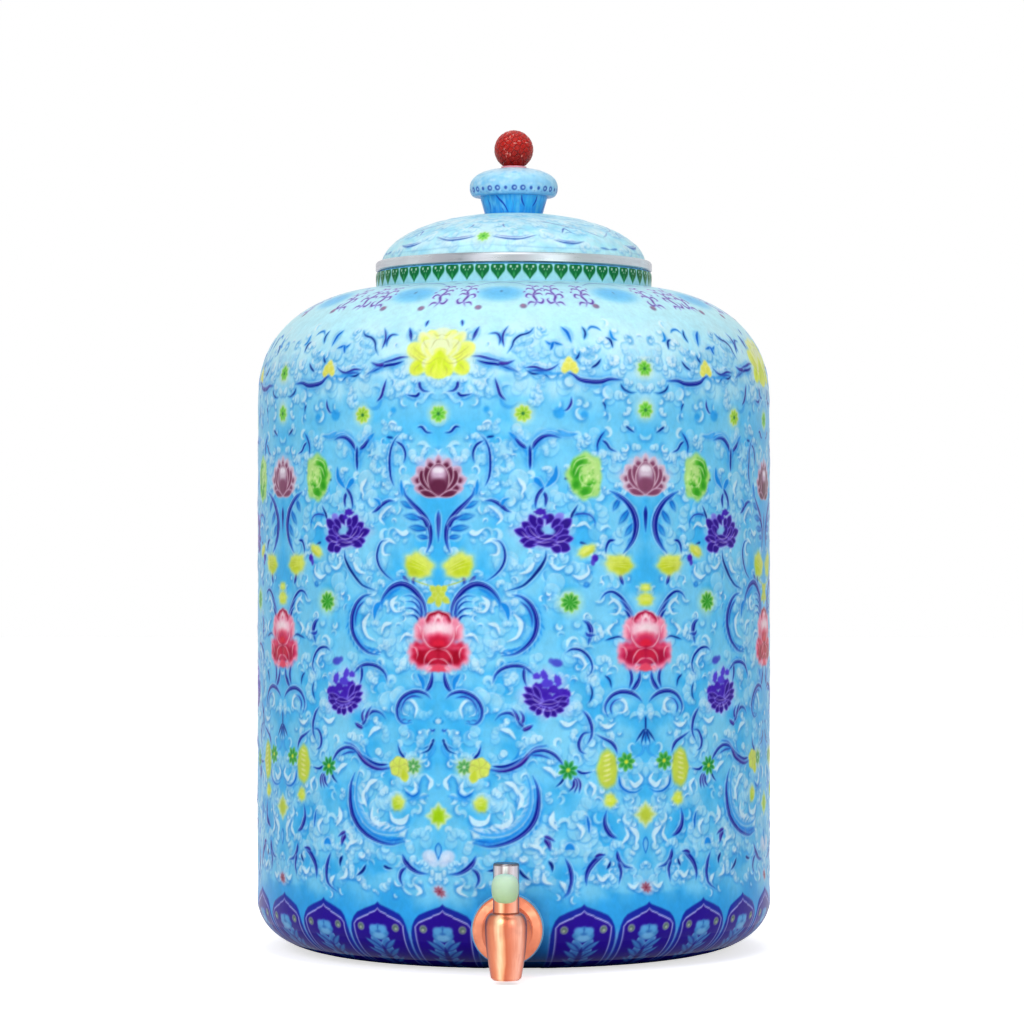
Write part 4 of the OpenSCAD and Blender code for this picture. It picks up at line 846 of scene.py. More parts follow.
def rose(canvas, x, s):
    """The round green flower beside the dusky lotus."""
    blot(canvas, (x, s), 8.6, 11.2, (170, 222, 120), 0.95, soft=1.2, rough=0.09, raised=0.15, seed=2)
    blot(canvas, (x + 1.8, s + 1.0), 5.6, 8.0, (186, 228, 136), 0.8, soft=2.0, rough=0.09)
    for dx, ds, rx, rs, turn in (
        (-4.4, 1.8, 2.9, 5.6, 0.2), (-2.6, 6.4, 4.0, 2.4, 0.5), (0.2, -6.8, 3.4, 3.0, 0.4),
        (2.6, -3.8, 3.0, 1.5, 0.6), (-4.2, -3.6, 2.6, 3.2, -0.4),
    ):
        blot(canvas, (x + dx, s + ds), rx, rs, (72, 178, 40), 0.85, soft=1.0, turn=turn, raised=0.06,
             rough=0.1)
        blot(canvas, (x + dx - 0.3, s + ds - 0.4), rx * 0.55, rs * 0.55, (40, 148, 28), 0.75, soft=0.9,
             turn=turn)
    draw = np.random.default_rng(4)
    for _ in range(46):
        dx, ds = draw.normal(1.8, 2.2), draw.normal(0.6, 3.6)
        stamen = ((214, 240, 170), (120, 196, 80))[draw.integers(2)]
        blot(canvas, (x + dx, s + ds), 0.5, 0.5, stamen, 0.7, soft=0.35, raised=0.05)
    edges = (
        [(-6.6, 2.4), (-4.4, 7.0), (0.6, 8.6), (5, 6.6)], [(-5.4, 0), (-3, 4.6), (1.6, 5.4)],
        [(-2.2, 3.4), (-2.8, -1), (-0.6, -4.4), (3.6, -5)], [(-1.4, -9.6), (2.6, -8.6), (4.4, -5.6)],
    )
    strokes(canvas, x, s, edges, 0.6, (214, 242, 178), 0.3, 0.4, 0.85)


def bud(canvas, x, s, rx, rs, turn=0.0, tone=YELLOW):
    """A soft yellow bud like a folded leaf, greener toward its foot."""
    seed = int(10 * rx)
    blot(canvas, (x, s), rx * 1.2, rs * 1.25, (224, 238, 170), 0.5, soft=2.0, turn=turn, rough=0.1, seed=seed)
    blot(canvas, (x, s), rx, rs, (214, 226, 92), 0.95, soft=1.3, turn=turn, rough=0.09, raised=0.3, seed=seed)
    blot(canvas, (x + 0.2 * rx, s - 0.2 * rs), rx * 0.7, rs * 0.66, tone, 0.8, soft=1.8, turn=turn,
         rough=0.09, seed=seed)
    c, d = math.cos(turn), math.sin(turn)
    for k in (-0.4, 0.1, 0.55):
        fold = [(-0.75, -0.1 + 0.4 * k), (0.0, 0.5 * k), (0.8, 0.75 * k)]
        placed = [(x + rx * u * c - rs * v * d, s + rx * u * d + rs * v * c) for u, v in fold]
        brush(canvas, placed, 0.5, (232, 240, 150), 0.4, 0.5, 0.7, soft=0.3)


def lappet(canvas, x):
    """A cusped blue panel at the pot's foot, with a round bud over acanthus leaves."""
    half = LAPPET_STEP / 2
    found = canvas.window(x - half - 0.01, x + half + 0.01, canvas.s[0], LAPPET_TOP)
    if found is None:
        return
    cut, cx, s = found
    u = np.abs(cx - x)
    cusp = ([0, 0.6, 1.5, 4, 8, 12, 14, 15.3, 16.1, 16.6],
            [34, 33.3, 32.6, 31.7, 30.2, 28.4, 26.2, 23.4, 19.5, 12])
    crown = np.interp(u[0], *cusp)[None, :]
    gap = np.where(u < 5, np.minimum(crown - s, 16.6 - u) * 0.9, np.minimum((crown - s) * 0.8, 16.6 - u))
    canvas.tint(cut, ease(-0.3, 0.3, gap), (22, 38, 160))
    canvas.tint(cut, ease(2.9, 3.5, gap), (38, 6, 146))
    canvas.tint(cut, np.exp(-(((gap - 2.9) / 0.3) ** 2)), (206, 210, 252))
    canvas.tint(cut, np.exp(-(((gap - 4.0) / 0.3) ** 2)) * 0.5, (36, 20, 130))
    canvas.tint(cut, np.exp(-(((16.7 - u) / 0.3) ** 2)) * ease(24, 18, s) * 0.8, (150, 176, 236))
    canvas.height[cut] += 0.2 * ease(-0.2, 0.9, gap) - 0.1 * np.exp(-(((gap - 2.9) / 0.45) ** 2))
    leaf, light, dark = (72, 140, 210), (122, 192, 240), (38, 52, 158)
    for way in (-1, 1):
        blot(canvas, (x + way * 9.7, 21.8), 1.9, 1.9, (160, 176, 168), 0.95, 0.4, raised=0.1)
        blot(canvas, (x + way * 9.7, 21.8), 1.45, 1.45, (84, 112, 106), 0.95, 0.4)
        blot(canvas, (x + way * 9.9, 21.4), 0.7, 0.6, (196, 206, 186), 0.85, 0.3)
    for tip, root, out in (
        (-25, -33, 5.6), (-16, -24.5, 6.6), (-6.6, -15, 7.4), (2.8, -5, 8.2), (10.0, 3, 8.6),
        (15.4, 9.4, 8.2),
    ):
        for way in (-1, 1):
            for share, lift, thick in ((0.62, 1.4, 5.2), (0.84, -1.6, 3.4), (1.06, 0.6, 3.2)):
                petal(canvas, (x + way * 0.4, root), (x + way * out * share, tip + lift), thick, leaf, light,
                      fullest=0.45, soft=0.4, raised=0.12, split=0.6, edge=dark if share > 1 else None,
                      blunt=0.85)
            rib = [(x + way * 0.8, root), (x + way * out * 0.4, (tip + root) / 2 + 0.6),
                   (x + way * out * 0.8, tip)]
            brush(canvas, rib, 0.6, dark, 0.2, 0.6, 0.8, soft=0.3)
    petal(canvas, (x, -38), (x, 12.5), 2.8, (30, 20, 120), (40, 40, 150),
          fullest=0.8, soft=0.6, raised=0.0, cover=0.9)
    blot(canvas, (x, 19.2), 5.3, 4.0, (70, 146, 212), 0.98, 0.6, raised=0.2, rough=0.06)
    for way in (-1, 1):
        blot(canvas, (x + way * 2.5, 21.0), 2.5, 2.0, (96, 176, 230), 0.85, 0.8, raised=0.1, turn=way * 0.4)
    blot(canvas, (x, 17.6), 3.4, 1.7, (130, 200, 240), 0.8, 0.9)
    blot(canvas, (x, 19.8), 1.6, 0.8, (40, 100, 186), 0.6, 0.6)
    brush(canvas, [(x, 23.4), (x, 21.8), (x, 20.4)], 0.7, (40, 90, 180), 0.3, 0.4, 0.8, soft=0.3)


def hearts(canvas):
    """The green heart border of the neck, under the lid's ring."""
    step = HALF_TURN / 7
    cut, x, s = canvas.window(-2, HALF_TURN + 2, 369.2, 380)
    canvas.tint(cut, 0.7 * ease(369.2, 370.4, s) + 0 * x, (162, 222, 230))
    canvas.tint(cut, ease(377.8, 378.8, s) + 0 * x, (58, 120, 132))
    for k in range(7):
        x = (k + 0.5) * step
        blot(canvas, (x, 375.0), 0.44 * step, 3.4, (120, 196, 190), 0.6, 1.0)
        petal(canvas, (x, 370.2), (x, 379.6), 0.92 * step, (14, 100, 52), (24, 128, 70),
              fullest=0.64, soft=0.6, blunt=0.75, raised=0.12)
        for way in (-1, 1):
            blot(canvas, (x + way * 0.2 * step, 375.6), 0.24 * step, 2.1, (16, 108, 58), 0.97, 0.5,
                 raised=0.12)
            blot(canvas, (x + way * 0.2 * step, 376.6), 1.0, 0.5, (228, 250, 238), 0.95, 0.25)
            blot(canvas, (x + way * 0.09 * step, 375.3), 0.6, 0.35, (200, 238, 216), 0.9, 0.25)
        blot(canvas, (x, 372.8), 1.2, 1.4, (60, 170, 92), 0.7, 0.6)


def sprig(canvas, x, s, way=1):
    """A small upright plum scroll with paired curls: a plain filler motif."""
    tone, glow = (96, 52, 160), (150, 166, 236)
    for width, pts in (
        (1.5, [(-1, -11), (0.8, -7), (-0.6, -2.6), (1.0, 2), (0.0, 6), (0.8, 10.6)]),
        (1.3, [(0.2, -7.4), (3.4, -8.6), (4.8, -6), (3.4, -4.4)]),
        (1.2, [(0.2, -8.4), (-3, -8), (-4.6, -10.4)]),
        (1.3, [(-0.4, -2.2), (-3.8, -0.8), (-5.0, -3.4), (-3.2, -4.6)]),
        (1.2, [(0, -1.4), (3.4, 0), (5.2, -2)]),
        (1.2, [(0.9, 2.4), (4.2, 4.2), (5.4, 2.0)]), (1.2, [(0.4, 4.4), (-3.2, 5.8), (-4.6, 3.2)]),
        (1.1, [(0.4, 7.4), (3.2, 9.4), (4.6, 7.6)]), (1.0, [(0.4, 8.2), (-2.2, 10.2), (-4.2, 9)]),
        (0.9, [(-6.4, 0.8), (-5, 2.4)]), (0.9, [(5.8, 6.4), (7.2, 5.2)]),
    ):
        placed = [(x + way * a, s + 1.12 * b) for a, b in pts]
        brush(canvas, placed, width, tone, 0.4, 0.6, 0.95, soft=0.4, glow=0.4, glow_colour=glow)


def wall_stretch(s):
    """How much wider a shape is laid at s, so that it keeps its width where the shoulder curves in."""
    if s < SHOULDER_S:
        return 1.0
    return WALL_R / max(NECK_R, WALL_R - (WALL_R - NECK_R) * ((s - SHOULDER_S) / SHOULDER_LENGTH) ** 1.6)


def clouds(canvas):
    """The moulded cloud ground: scales, curls and the listed swirls."""
    puffs(canvas, 200, 11, openness, (160, 220, 247), (52, 158, 230), (40, 136, 216), size=(2.4, 4.8),
          cover=0.66)
    commas(canvas, 340, 13, lambda x, s: openness(x, s) * (s < 300),
           ((160, 220, 247), (184, 230, 250), (200, 236, 251)), (40, 136, 216), width=(1.4, 3.0),
           length=(4, 10))
    commas(canvas, 300, 17, lambda x, s: openness(x, s) * (s > 292), ((206, 242, 252), (226, 248, 254)),
           (112, 194, 238), width=(1.2, 2.6), length=(4, 9))
    puffs(canvas, 380, 12, openness, (188, 230, 249), (54, 158, 230), (34, 128, 212), size=(1.0, 2.4),
          cover=0.7)
    puffs(canvas, 130, 21, lambda x, s: openness(x, s) * (272 < s < 304), (222, 245, 253), (66, 168, 234),
          (40, 134, 214), size=(1.0, 2.2), cover=0.8)
    # painted glints: short pale curls as small highlights on the relief
    commas(canvas, 190, 19, openness, ((222, 243, 253), (204, 238, 252)), (36, 130, 214), width=(0.8, 1.5),
           length=(2.6, 6.0))
    # the swirls get a painted shadow line under them
    for width, pts in SWIRLS:
        brush(canvas, pts, 0.85 * width, (212, 240, 253), 0.35, 0.7, 0.85, soft=0.5, raised=0.12,
              under=(30, 124, 212))


def neck_band(canvas):
    """Quiet ovals, dashes, sprigs and dots between the shoulder and the neck."""
    for cx, cs in ((28, 337), (101.7, 337)):
        blot(canvas, (cx, cs), 14.6, 8.6, (104, 196, 246), 0.8, soft=4.4)
        blot(canvas, (cx, cs + 0.6), 9, 4.8, (90, 188, 246), 0.5, soft=3)
        blot(canvas, (cx + 0.4, cs + 1.6), 0.9, 1.4, (70, 120, 176), 0.7, 0.6)
        brush(canvas, [(cx - 17, 348), (cx - 9, 353.6), (cx, 355.4), (cx + 9, 353.6), (cx + 17, 348)], 1.3,
              (92, 104, 196), 0.4, 0.4, 0.7, soft=0.6)
    for pts in ([(46, 352.6), (52, 354.4), (58, 353)], [(64, 351.6), (70, 354), (78, 352.6)],
                [(2, 353.4), (8, 351.6)], [(84, 357), (90, 359.6)],
                [(38, 357), (46, 360), (56, 359)], [(10, 360), (18, 362)], [(66, 361), (76, 362)]):
        brush(canvas, pts, 1.3, (84, 88, 180), 0.4, 0.4, 0.75, soft=0.6)
    for cx, way in ((48.5, 1), (60.5, -1), (78, 1), (8, -1)):
        sprig(canvas, cx, 336, way)
    for cx, cs in ((16.5, 322.7), (41.5, 323.7), (83, 324.3)):
        blot(canvas, (cx, cs), 1.9, 1.8, (122, 96, 140), 0.85, 0.7, raised=0.15)
        blot(canvas, (cx - 0.3, cs + 0.3), 0.8, 0.8, (176, 120, 150), 0.7, 0.5)


def lotus_leaves(canvas):
    """Veined azure leaves on the stems under the dusky lotuses."""
    for base, tip, width in (((4.0, 207.6), (11.8, 208.6), 5.6), ((4.6, 211.6), (16.6, 213.0), 7.0),
                             ((6.6, 216.6), (19.4, 218.6), 7.2), ((11.4, 221.4), (20.6, 225.6), 6.4),
                             ((95.8, 209.8), (91.4, 203.4), 5.4), ((96.6, 216.0), (89.4, 207.2), 6.6),
                             ((93.6, 222.0), (86.4, 213.0), 7.2), ((88.4, 227.4), (83.6, 219.4), 6.6)):
        petal(canvas, base, tip, 0.86 * width, (24, 134, 218), (120, 202, 243), fullest=0.62, soft=0.9,
              raised=0.14, split=0.25, blunt=0.55)
        for share in (-0.2, 0.2):
            mid = ((base[0] + tip[0]) / 2 + share * (tip[1] - base[1]) * 0.5,
                   (base[1] + tip[1]) / 2 - share * (tip[0] - base[0]) * 0.5)
            end = (base[0] + 0.86 * (tip[0] - base[0]), base[1] + 0.86 * (tip[1] - base[1]))
            brush(canvas, [base, mid, end], 0.7, (24, 80, 190), 0.1, 0.8, 0.85, soft=0.3)


def scrollwork(canvas):
    """The stems and arches, over the feathers that leave them."""
    for colour, width, length, lean, count, span, pts in FEATHERS:
        fronds(canvas, pts, length, lean, count, colour, width, span, seed=count * 7 + int(length * 10))
    for colour, width, head, tail, glow, raised, pts in LINES:
        brush(canvas, pts, 0.8 * width, colour, head, tail, 1.0, glow=glow, raised=raised * 0.4,
              inner=INNER if width >= INNER_FROM and colour in (INK, PLUM) else None)


def upper_flowers(canvas):
    """Lotuses, aster, knapweed, rose and their buds."""
    lotus(canvas, 0, 295)
    for base, tip in (((63, 287.4), (62.6, 294)), ((63, 287.4), (58.6, 288)), ((63, 287.4), (67.6, 287.6)),
                      ((63, 287.4), (66, 291.4)), ((63, 287.4), (60, 291))):
        petal(canvas, base, tip, 4.2, (226, 226, 96), (236, 240, 150), soft=0.9)
    dusk_lotus(canvas, 0, 236.4, (92, 30, 62), (136, 80, 112), (206, 178, 206))
    dusk_lotus(canvas, HALF_TURN, 237.4, (128, 66, 98), (166, 122, 154), (214, 196, 214))
    aster(canvas, 50.2, 210.6)
    knapweed(canvas, 51.6, 133.4)
    rose(canvas, 70.4, 237)
    bud(canvas, 10, 194.4, 7.0, 5.6, 0.35, (188, 210, 30))
    bud(canvas, 87.6, 195, 6.8, 4.5, -0.1, (188, 206, 36))
    bud(canvas, 71, 201.6, 4.2, 2.3, 0.5, (196, 208, 60))
    blot(canvas, (75.2, 198), 1.7, 1.8, VIOLET, 0.95, 0.5, raised=0.2)
    blot(canvas, (74.2, 196), 1.1, 1.6, (74, 56, 190), 0.9, 0.5)


def middle_flowers(canvas):
    """Peonies with the buds over them, and the small stars of the bands."""
    peony(canvas, 0, 158.4, (158, 2, 36), (198, 24, 62), (238, 160, 186))
    peony(canvas, HALF_TURN, 158.4, (172, 14, 60), (204, 44, 92), (236, 156, 184))
    for base, tip in (((0, 180.6), (4.2, 185)), ((0, 181), (0, 185.4)), ((0, 181), (5.6, 176.6)),
                      ((0, 181), (0, 174.6)), ((0, 181.6), (3.4, 180))):
        petal(canvas, base, tip, 3.4, (190, 208, 70), (208, 222, 120), soft=0.7)
    for cs, rx, rs in ((184, 2.8, 1.7), (178.3, 4.2, 2.8)):
        bud(canvas, HALF_TURN, cs, rx, rs)
    star(canvas, (63, 177), 5.2, 9, (44, 150, 40), MINT, GREEN, (196, 232, 190), 0.5)
    blot(canvas, (71, 185.4), 1.6, 1.5, DEEP, 0.7, 0.6)
    blot(canvas, (70.9, 185.5), 0.8, 0.7, SKY, 0.8, 0.4)
    blot(canvas, (56.6, 148.4), 2.8, 1.9, (64, 66, 196), 0.9, 0.8, turn=-0.2, raised=0.2)
    blot(canvas, (53.8, 149.4), 1.3, 1.3, (70, 80, 200), 0.8, 0.6)
    for a, b, r in ((0, 266.6, 4.4), (HALF_TURN, 268.8, 4.4), (40.5, 266.6, 4.4), (HALF_TURN, 288.6, 4.2)):
        tone = ((96, 196, 50), (186, 226, 150)) if a != 40.5 else ((150, 206, 50), (212, 232, 150))
        star(canvas, (a, b), r, 8, tone[0], tone[1], (40, 120, 60), (206, 234, 200), 0.52, turn=0.2)
    for a, b, r in ((23.2, 268.6, 1.5), (57.6, 267, 2.8), (70, 266, 2.0)):
        blot(canvas, (a, b), r, r, (30, 150, 232), 0.75, 0.8)


def lower_flowers(canvas):
    """Flowers, buds and seeds between the peonies and the lappets."""
    for a in (1.4, 2.9):
        petal(canvas, (0.2, 119), (a, 124.4 - a), 2.4, (30, 150, 226), (90, 186, 240), soft=0.5)
    blot(canvas, (0, 120.6), 1.5, 1.3, (190, 222, 240), 0.9, 0.5, raised=0.2)
    star(canvas, (12.6, 99), 3.9, 8, (70, 156, 84), (160, 206, 130), (200, 226, 190), (190, 222, 190), 0.4)
    for k in range(6):
        a = 1.05 * k + 0.3
        petal(canvas, (20, 98.6), (20 + 5.4 * math.cos(a), 98.6 + 5.2 * math.sin(a)), 5.0, (204, 222, 90),
              (222, 232, 140), soft=0.9, edge=(180, 190, 80))
    petal(canvas, (18, 98), (16.6, 91.4), 4.6, (196, 214, 60), (214, 226, 120), soft=0.9)
    star(canvas, (62, 97.6), 5.0, 8, (24, 136, 58), (86, 180, 110), (190, 214, 60), None, 0.36, turn=0.3)
    star(canvas, (91.2, 101), 4.8, 7, (44, 150, 56), (110, 190, 100), (214, 224, 60), None, 0.4, turn=0.1)
    blot(canvas, (81.4, 97.6), 5.2, 9.2, (196, 212, 70), 0.97, soft=1.4, rough=0.04, raised=0.3)
    for ds in (-5.4, -3, -0.6, 1.8, 4.2, 6.4):
        brush(canvas, [(79.2, 97.4 + ds), (81.2, 97.8 + ds), (83.2, 98.6 + ds)], 0.9, (232, 236, 168), 0.4,
              0.4, 0.85, soft=0.4)
    bud(canvas, 82.8, 83, 2.8, 2.9)
    bud(canvas, 20.5, 81.5, 3.0, 3.4, 0, (166, 204, 24))
    for a, tone in ((0, (156, 204, 14)), (HALF_TURN, (186, 204, 60))):
        for k in range(8):
            reach, turn = (6.6 if k % 2 == 0 else 5.2), math.pi / 4 * k
            tip = (a + reach * math.cos(turn), 75.6 + reach * math.sin(turn))
            petal(canvas, (a, 75.6), tip, 4.4, tone, (214, 236, 190),
                  fullest=0.4, soft=2.4, split=0.1, raised=0.06, cover=0.9)
        blot(canvas, (a, 75.6), 3.0, 3.4, tone, 0.95, soft=1.8, raised=0.08, rough=0.1)
    blot(canvas, (4.6, 56.6), 3.6, 3.0, (206, 222, 246), 0.85, 1.0, raised=0.35)
    blot(canvas, (2.2, 53.4), 2.8, 2.0, (200, 218, 244), 0.8, 1.0, raised=0.3)
    petal(canvas, (0, 55), (0, 63), 3.2, (110, 190, 240), (40, 140, 220), soft=0.6, edge=DEEP)
    petal(canvas, (HALF_TURN, 57), (HALF_TURN, 65), 3.0, (110, 190, 240), (40, 140, 220), soft=0.6, edge=DEEP)
    for a, b in ((0, 39.8), (HALF_TURN, 40.8)):
        star(canvas, (a, b), 2.9, 8, (150, 78, 98), (176, 140, 172), (120, 30, 54), (196, 190, 220), 0.4)


def paint_pot():
    """The pot's wall, folded to the eighth that repeats: x from a lotus column to the next."""
    canvas = Canvas(-1, HALF_TURN + 1, -39.2, 379.4)
    canvas.stretch = wall_stretch
    ground(canvas)
    clouds(canvas)
    neck_band(canvas)
    lotus_leaves(canvas)
    scrollwork(canvas)
    upper_flowers(canvas)
    middle_flowers(canvas)
    lower_flowers(canvas)
    for k in range(4):
        lappet(canvas, k * LAPPET_STEP)
    hearts(canvas)
    canvas.soften(2)
    return canvas


# ---------------------------------------------------------------- the lid's and the knob's painting
LID_R, KNOB_R = 67.0, 22.2
LID_HALF = math.radians(60) * LID_R  # from one small lid flower to the middle between two
AQUA, FROST, INK_BLUE = (168, 228, 248), (214, 242, 252), (44, 84, 176)


def paint_lid():
    """The lid's dome, folded to a sixth: x from a small green flower, s up from the rim."""
    canvas = Canvas(-1, LID_HALF + 1, -1, 56, AQUA)
    shades(canvas, [
        (0, 196, 232, 242), (2, 188, 240, 250), (12, 176, 236, 250), (26, 178, 235, 250), (42, 190, 240, 248),
        (50, 170, 230, 236), (54, 152, 230, 208),
    ])
    canvas.stretch = lambda s: 1.0 / max(0.3, math.cos(min(s, 44) / 46))
    draw = np.random.default_rng(8)
    for _ in range(130):
        x, s, r = draw.uniform(-2, LID_HALF + 2), draw.uniform(2, 48), draw.uniform(2, 6)
        cloud = (146, 216, 247) if draw.uniform() < 0.4 else FROST
        blot(canvas, (x, s), r * canvas.stretch(s), r * 0.7, cloud, 0.45, soft=r * 0.6, rough=0.15,
             seed=int(s))
    puffs(canvas, 90, 4, lambda x, s: 0.75 if 3 < s < 46 else 0.0, (212, 242, 252), (122, 198, 236),
          (104, 172, 222), size=(1.2, 2.6), cover=0.6)
    for width, tone, points in (
        (1.0, INK_BLUE, [(4.8, 10.6), (10, 9.2), (17, 8.2), (23, 9.2), (28.6, 11.4)]),
        (0.5, (86, 92, 190), [(6.4, 11.4), (12, 10.4), (18, 9.8), (24, 11.0)]),
        (1.0, INK_BLUE, [(37.4, 8.0), (43, 6.4), (49, 6.2), (54.6, 7.6)]),
        (0.5, (86, 110, 196), [(39, 8.8), (45, 7.4), (52, 7.6)]),
        (0.9, (60, 110, 196), [(64, 4.4), (67, 4.0), (70.2, 3.8)]),
        (0.7, (104, 100, 178), [(9.4, 22.6), (10.0, 20.4), (11.0, 18.2)]),
        (0.9, (50, 84, 184), [(43.6, 13.4), (47.0, 18.0), (50.4, 13.8)]),
        (0.6, (96, 160, 216), [(45, 13.2), (48, 14.4), (53, 13.2)]),
        (0.6, (84, 108, 176), [(31, 27.4), (38, 26.0), (46, 22.6), (52, 19.6), (58.6, 18.2)]),
        (0.6, (104, 140, 196), [(60, 17.4), (65, 14.0), (70, 11.6)]),
        (0.6, (128, 190, 226), [(14, 33), (22, 30.4), (30, 25.6), (36, 21.6)]),
        (0.7, (110, 186, 230), [(58, 27), (64, 24.6), (70, 24.2)]),
        (0.6, (120, 190, 226), [(3, 17.4), (7, 19.2), (10, 17)]),
        (0.6, (120, 190, 226), [(12, 40), (24, 37.4), (38, 38.6)]),
        (0.6, (120, 190, 226), [(44, 36), (56, 33), (70, 34.6)]),
        (0.5, (140, 196, 226), [(0, 5.4), (16, 4.2), (40, 3.2), (70, 4.0)]),
        (0.5, (140, 180, 220), [(16, 14.6), (20, 17.2), (25, 15.6)]),
    ):
        brush(canvas, points, width, tone, 0.3, 0.5, 0.95, soft=0.3, raised=0.06)
    for x, s, way in (
        (15, 16.4, 1), (30, 32, -1), (8, 36, 1), (33, 14.6, 1), (24, 44, -1), (55, 26, 1), (66, 15, -1),
        (62, 40, 1), (44, 30, -1), (3, 27, -1),
    ):
        for turn in range(3):
            radii, angles = np.linspace(3.2 - 0.6 * turn, 0.8, 7), np.linspace(turn, turn + 4, 7)
            curl = [(x + way * r * math.cos(t), s + 0.8 * r * math.sin(t)) for r, t in zip(radii, angles)]
            brush(canvas, curl, 1.1, (226, 246, 253), 0.3, 0.6, 0.6, soft=0.5, raised=0.06)
    star(canvas, (0, 10.6), 3.7, 8, (112, 206, 70), (196, 236, 160), (60, 160, 60), (206, 240, 214), 0.5)
    canvas.soften(2)
    return canvas


def paint_knob():
    """The knob: azure neck with ink leaves, and a pale cap with dots and rings, folded to a quarter."""
    end = math.pi / 2 * KNOB_R
    canvas = Canvas(-1, end + 1, -1, 52, (78, 180, 244))
    draw = np.random.default_rng(6)
    for _ in range(110):
        x, s = draw.uniform(-1, end + 1), draw.uniform(-1, 11)
        tone = ((50, 164, 242), (60, 190, 246), (112, 204, 248), (40, 140, 226))[draw.integers(4)]
        blot(canvas, (x, s), draw.uniform(0.6, 1.6), draw.uniform(1.6, 4), tone, 0.5, soft=0.8)
    cut, _, s = canvas.window(-2, end + 2, 10.2, 53)
    # painted shade: dark at s 10.2, where the cap overhangs the neck; painted reflection: the cap turns pink
    # toward the red ball at its top
    stops = np.array([
        (10.2, 70, 130, 200), (11.4, 120, 190, 236), (14.6, 132, 192, 238), (17.5, 150, 210, 244),
        (20, 146, 208, 244), (23, 164, 220, 247), (30, 200, 232, 250), (36, 226, 240, 250),
        (40, 240, 214, 230), (44, 240, 190, 214),
    ], float)
    for c in range(3):
        canvas.rgb[cut][..., c] = np.interp(s, stops[:, 0], stops[:, c + 1]) / 255
    for _ in range(150):
        x, s_at = draw.uniform(-1, end + 1), draw.uniform(13, 36)
        rx, rs = draw.uniform(0.6, 2.0), draw.uniform(0.5, 1.2)
        tone = (196, 232, 251) if draw.uniform() < 0.6 else (120, 196, 242)
        blot(canvas, (x, s_at), rx, rs, tone, 0.4, soft=0.6)
    for width, tone, points in (
        (1.2, (24, 66, 178), [(11.4, 10.0), (13.4, 8.0), (16.8, 5.0), (19.6, 0.8)]),
        (1.1, (28, 60, 172), [(29.0, 10.0), (29.6, 6.8), (31.6, 4.2)]),
        (0.7, (44, 120, 216), [(14.6, 3.6), (15.8, 1.8), (15.6, 0.4)]),
        (0.8, (36, 96, 200), [(3.0, 8.6), (4.6, 5.6), (4.2, 2.0)]),
        (0.6, (60, 140, 224), [(22.6, 8.0), (23.4, 5.0), (22.8, 2.2)]),
    ):
        brush(canvas, points, width, tone, 0.4, 0.6, 0.95, raised=0.05)
    for k in range(8):
        x = (k + 0.5) * end / 8
        if k % 3 == 1:
            blot(canvas, (x, 16.9), 0.8, 0.9, (48, 84, 176), 0.9, 0.3, raised=0.06)
        else:
            blot(canvas, (x, 16.9), 1.4, 1.35, (48, 84, 176), 0.9, 0.3, raised=0.06)
            blot(canvas, (x + 0.2, 16.9), 0.65, 0.6, (166, 214, 246), 0.9, 0.25)
        blot(canvas, (x + 0.5 * end / 8, 15.4), 0.3, 0.3, (80, 130, 200), 0.7, 0.2)
    canvas.soften(1)
    return canvas


# ---------------------------------------------------------------- meshes
def linear(rgb):
    """sRGB values from 0 to 1 as linear light."""
    rgb = np.clip(rgb, 0, 1)
    return np.where(rgb <= 0.04045, rgb / 12.92, ((rgb + 0.055) / 1.055) ** 2.4)


def tone(*rgb):
    """A colour of three values from 0 to 255 as a shader's colour."""
    return (*[float(c) for c in linear(np.array(rgb) / 255)], 1.0)


def grid_mesh(name, points, colours=None, normals=None):
    """A smooth mesh from a grid of points, in metres, with a colour and a normal for each."""
    rows, cols = points.shape[:2]
    mesh = bpy.data.meshes.new(name)
    mesh.vertices.add(rows * cols)
    mesh.vertices.foreach_set("co", points.reshape(-1).astype(np.float32))
    a = (np.arange(rows - 1)[:, None] * cols + np.arange(cols - 1)).reshape(-1)
    faces = np.stack([a, a + 1, a + cols + 1, a + cols], 1)
    mesh.loops.add(faces.size)
    mesh.loops.foreach_set("vertex_index", faces.reshape(-1).astype(np.int32))
    mesh.polygons.add(len(faces))
    mesh.polygons.foreach_set("loop_start", np.arange(0, faces.size, 4, dtype=np.int32))
    mesh.polygons.foreach_set("use_smooth", np.ones(len(faces), bool))
    mesh.update()
    mesh.validate()
    if colours is not None:
        paint = mesh.color_attributes.new("paint", "FLOAT_COLOR", "POINT")
        rgba = np.ones((rows * cols, 4), np.float32)
        rgba[:, :3] = linear(colours.reshape(-1, 3))
        paint.data.foreach_set("color", rgba.reshape(-1))
    if normals is not None:
        mesh.normals_split_custom_set_from_vertices(normals.reshape(-1, 3).astype(np.float32))
    piece = bpy.data.objects.new(name, mesh)
    bpy.context.scene.collection.objects.link(piece)
    return piece


def grid_normals(points):
    """Unit normals of a grid of points that closes round its columns, whose first and last agree."""
    up = np.gradient(points, axis=0)
    ring = np.concatenate([points[:, -2:-1], points, points[:, 1:2]], 1)
    along = (ring[:, 2:] - ring[:, :-2]) / 2
    n = np.cross(along, up)
    return n / np.maximum(np.linalg.norm(n, axis=-1, keepdims=True), 1e-12)


def quarter(r, z, across, up, powers, low=0.0, high=90.0):
    """Points of a flattened ellipse's quarter, from its foot at (r, z) to its top, as in the CAD source."""
    a = np.radians(np.linspace(low, high, 161))
    radius = r + across * np.abs(np.cos(a)) ** (2 / powers[0])
    return np.stack([radius, z + up * np.abs(np.sin(a)) ** (2 / powers[1])], 1)


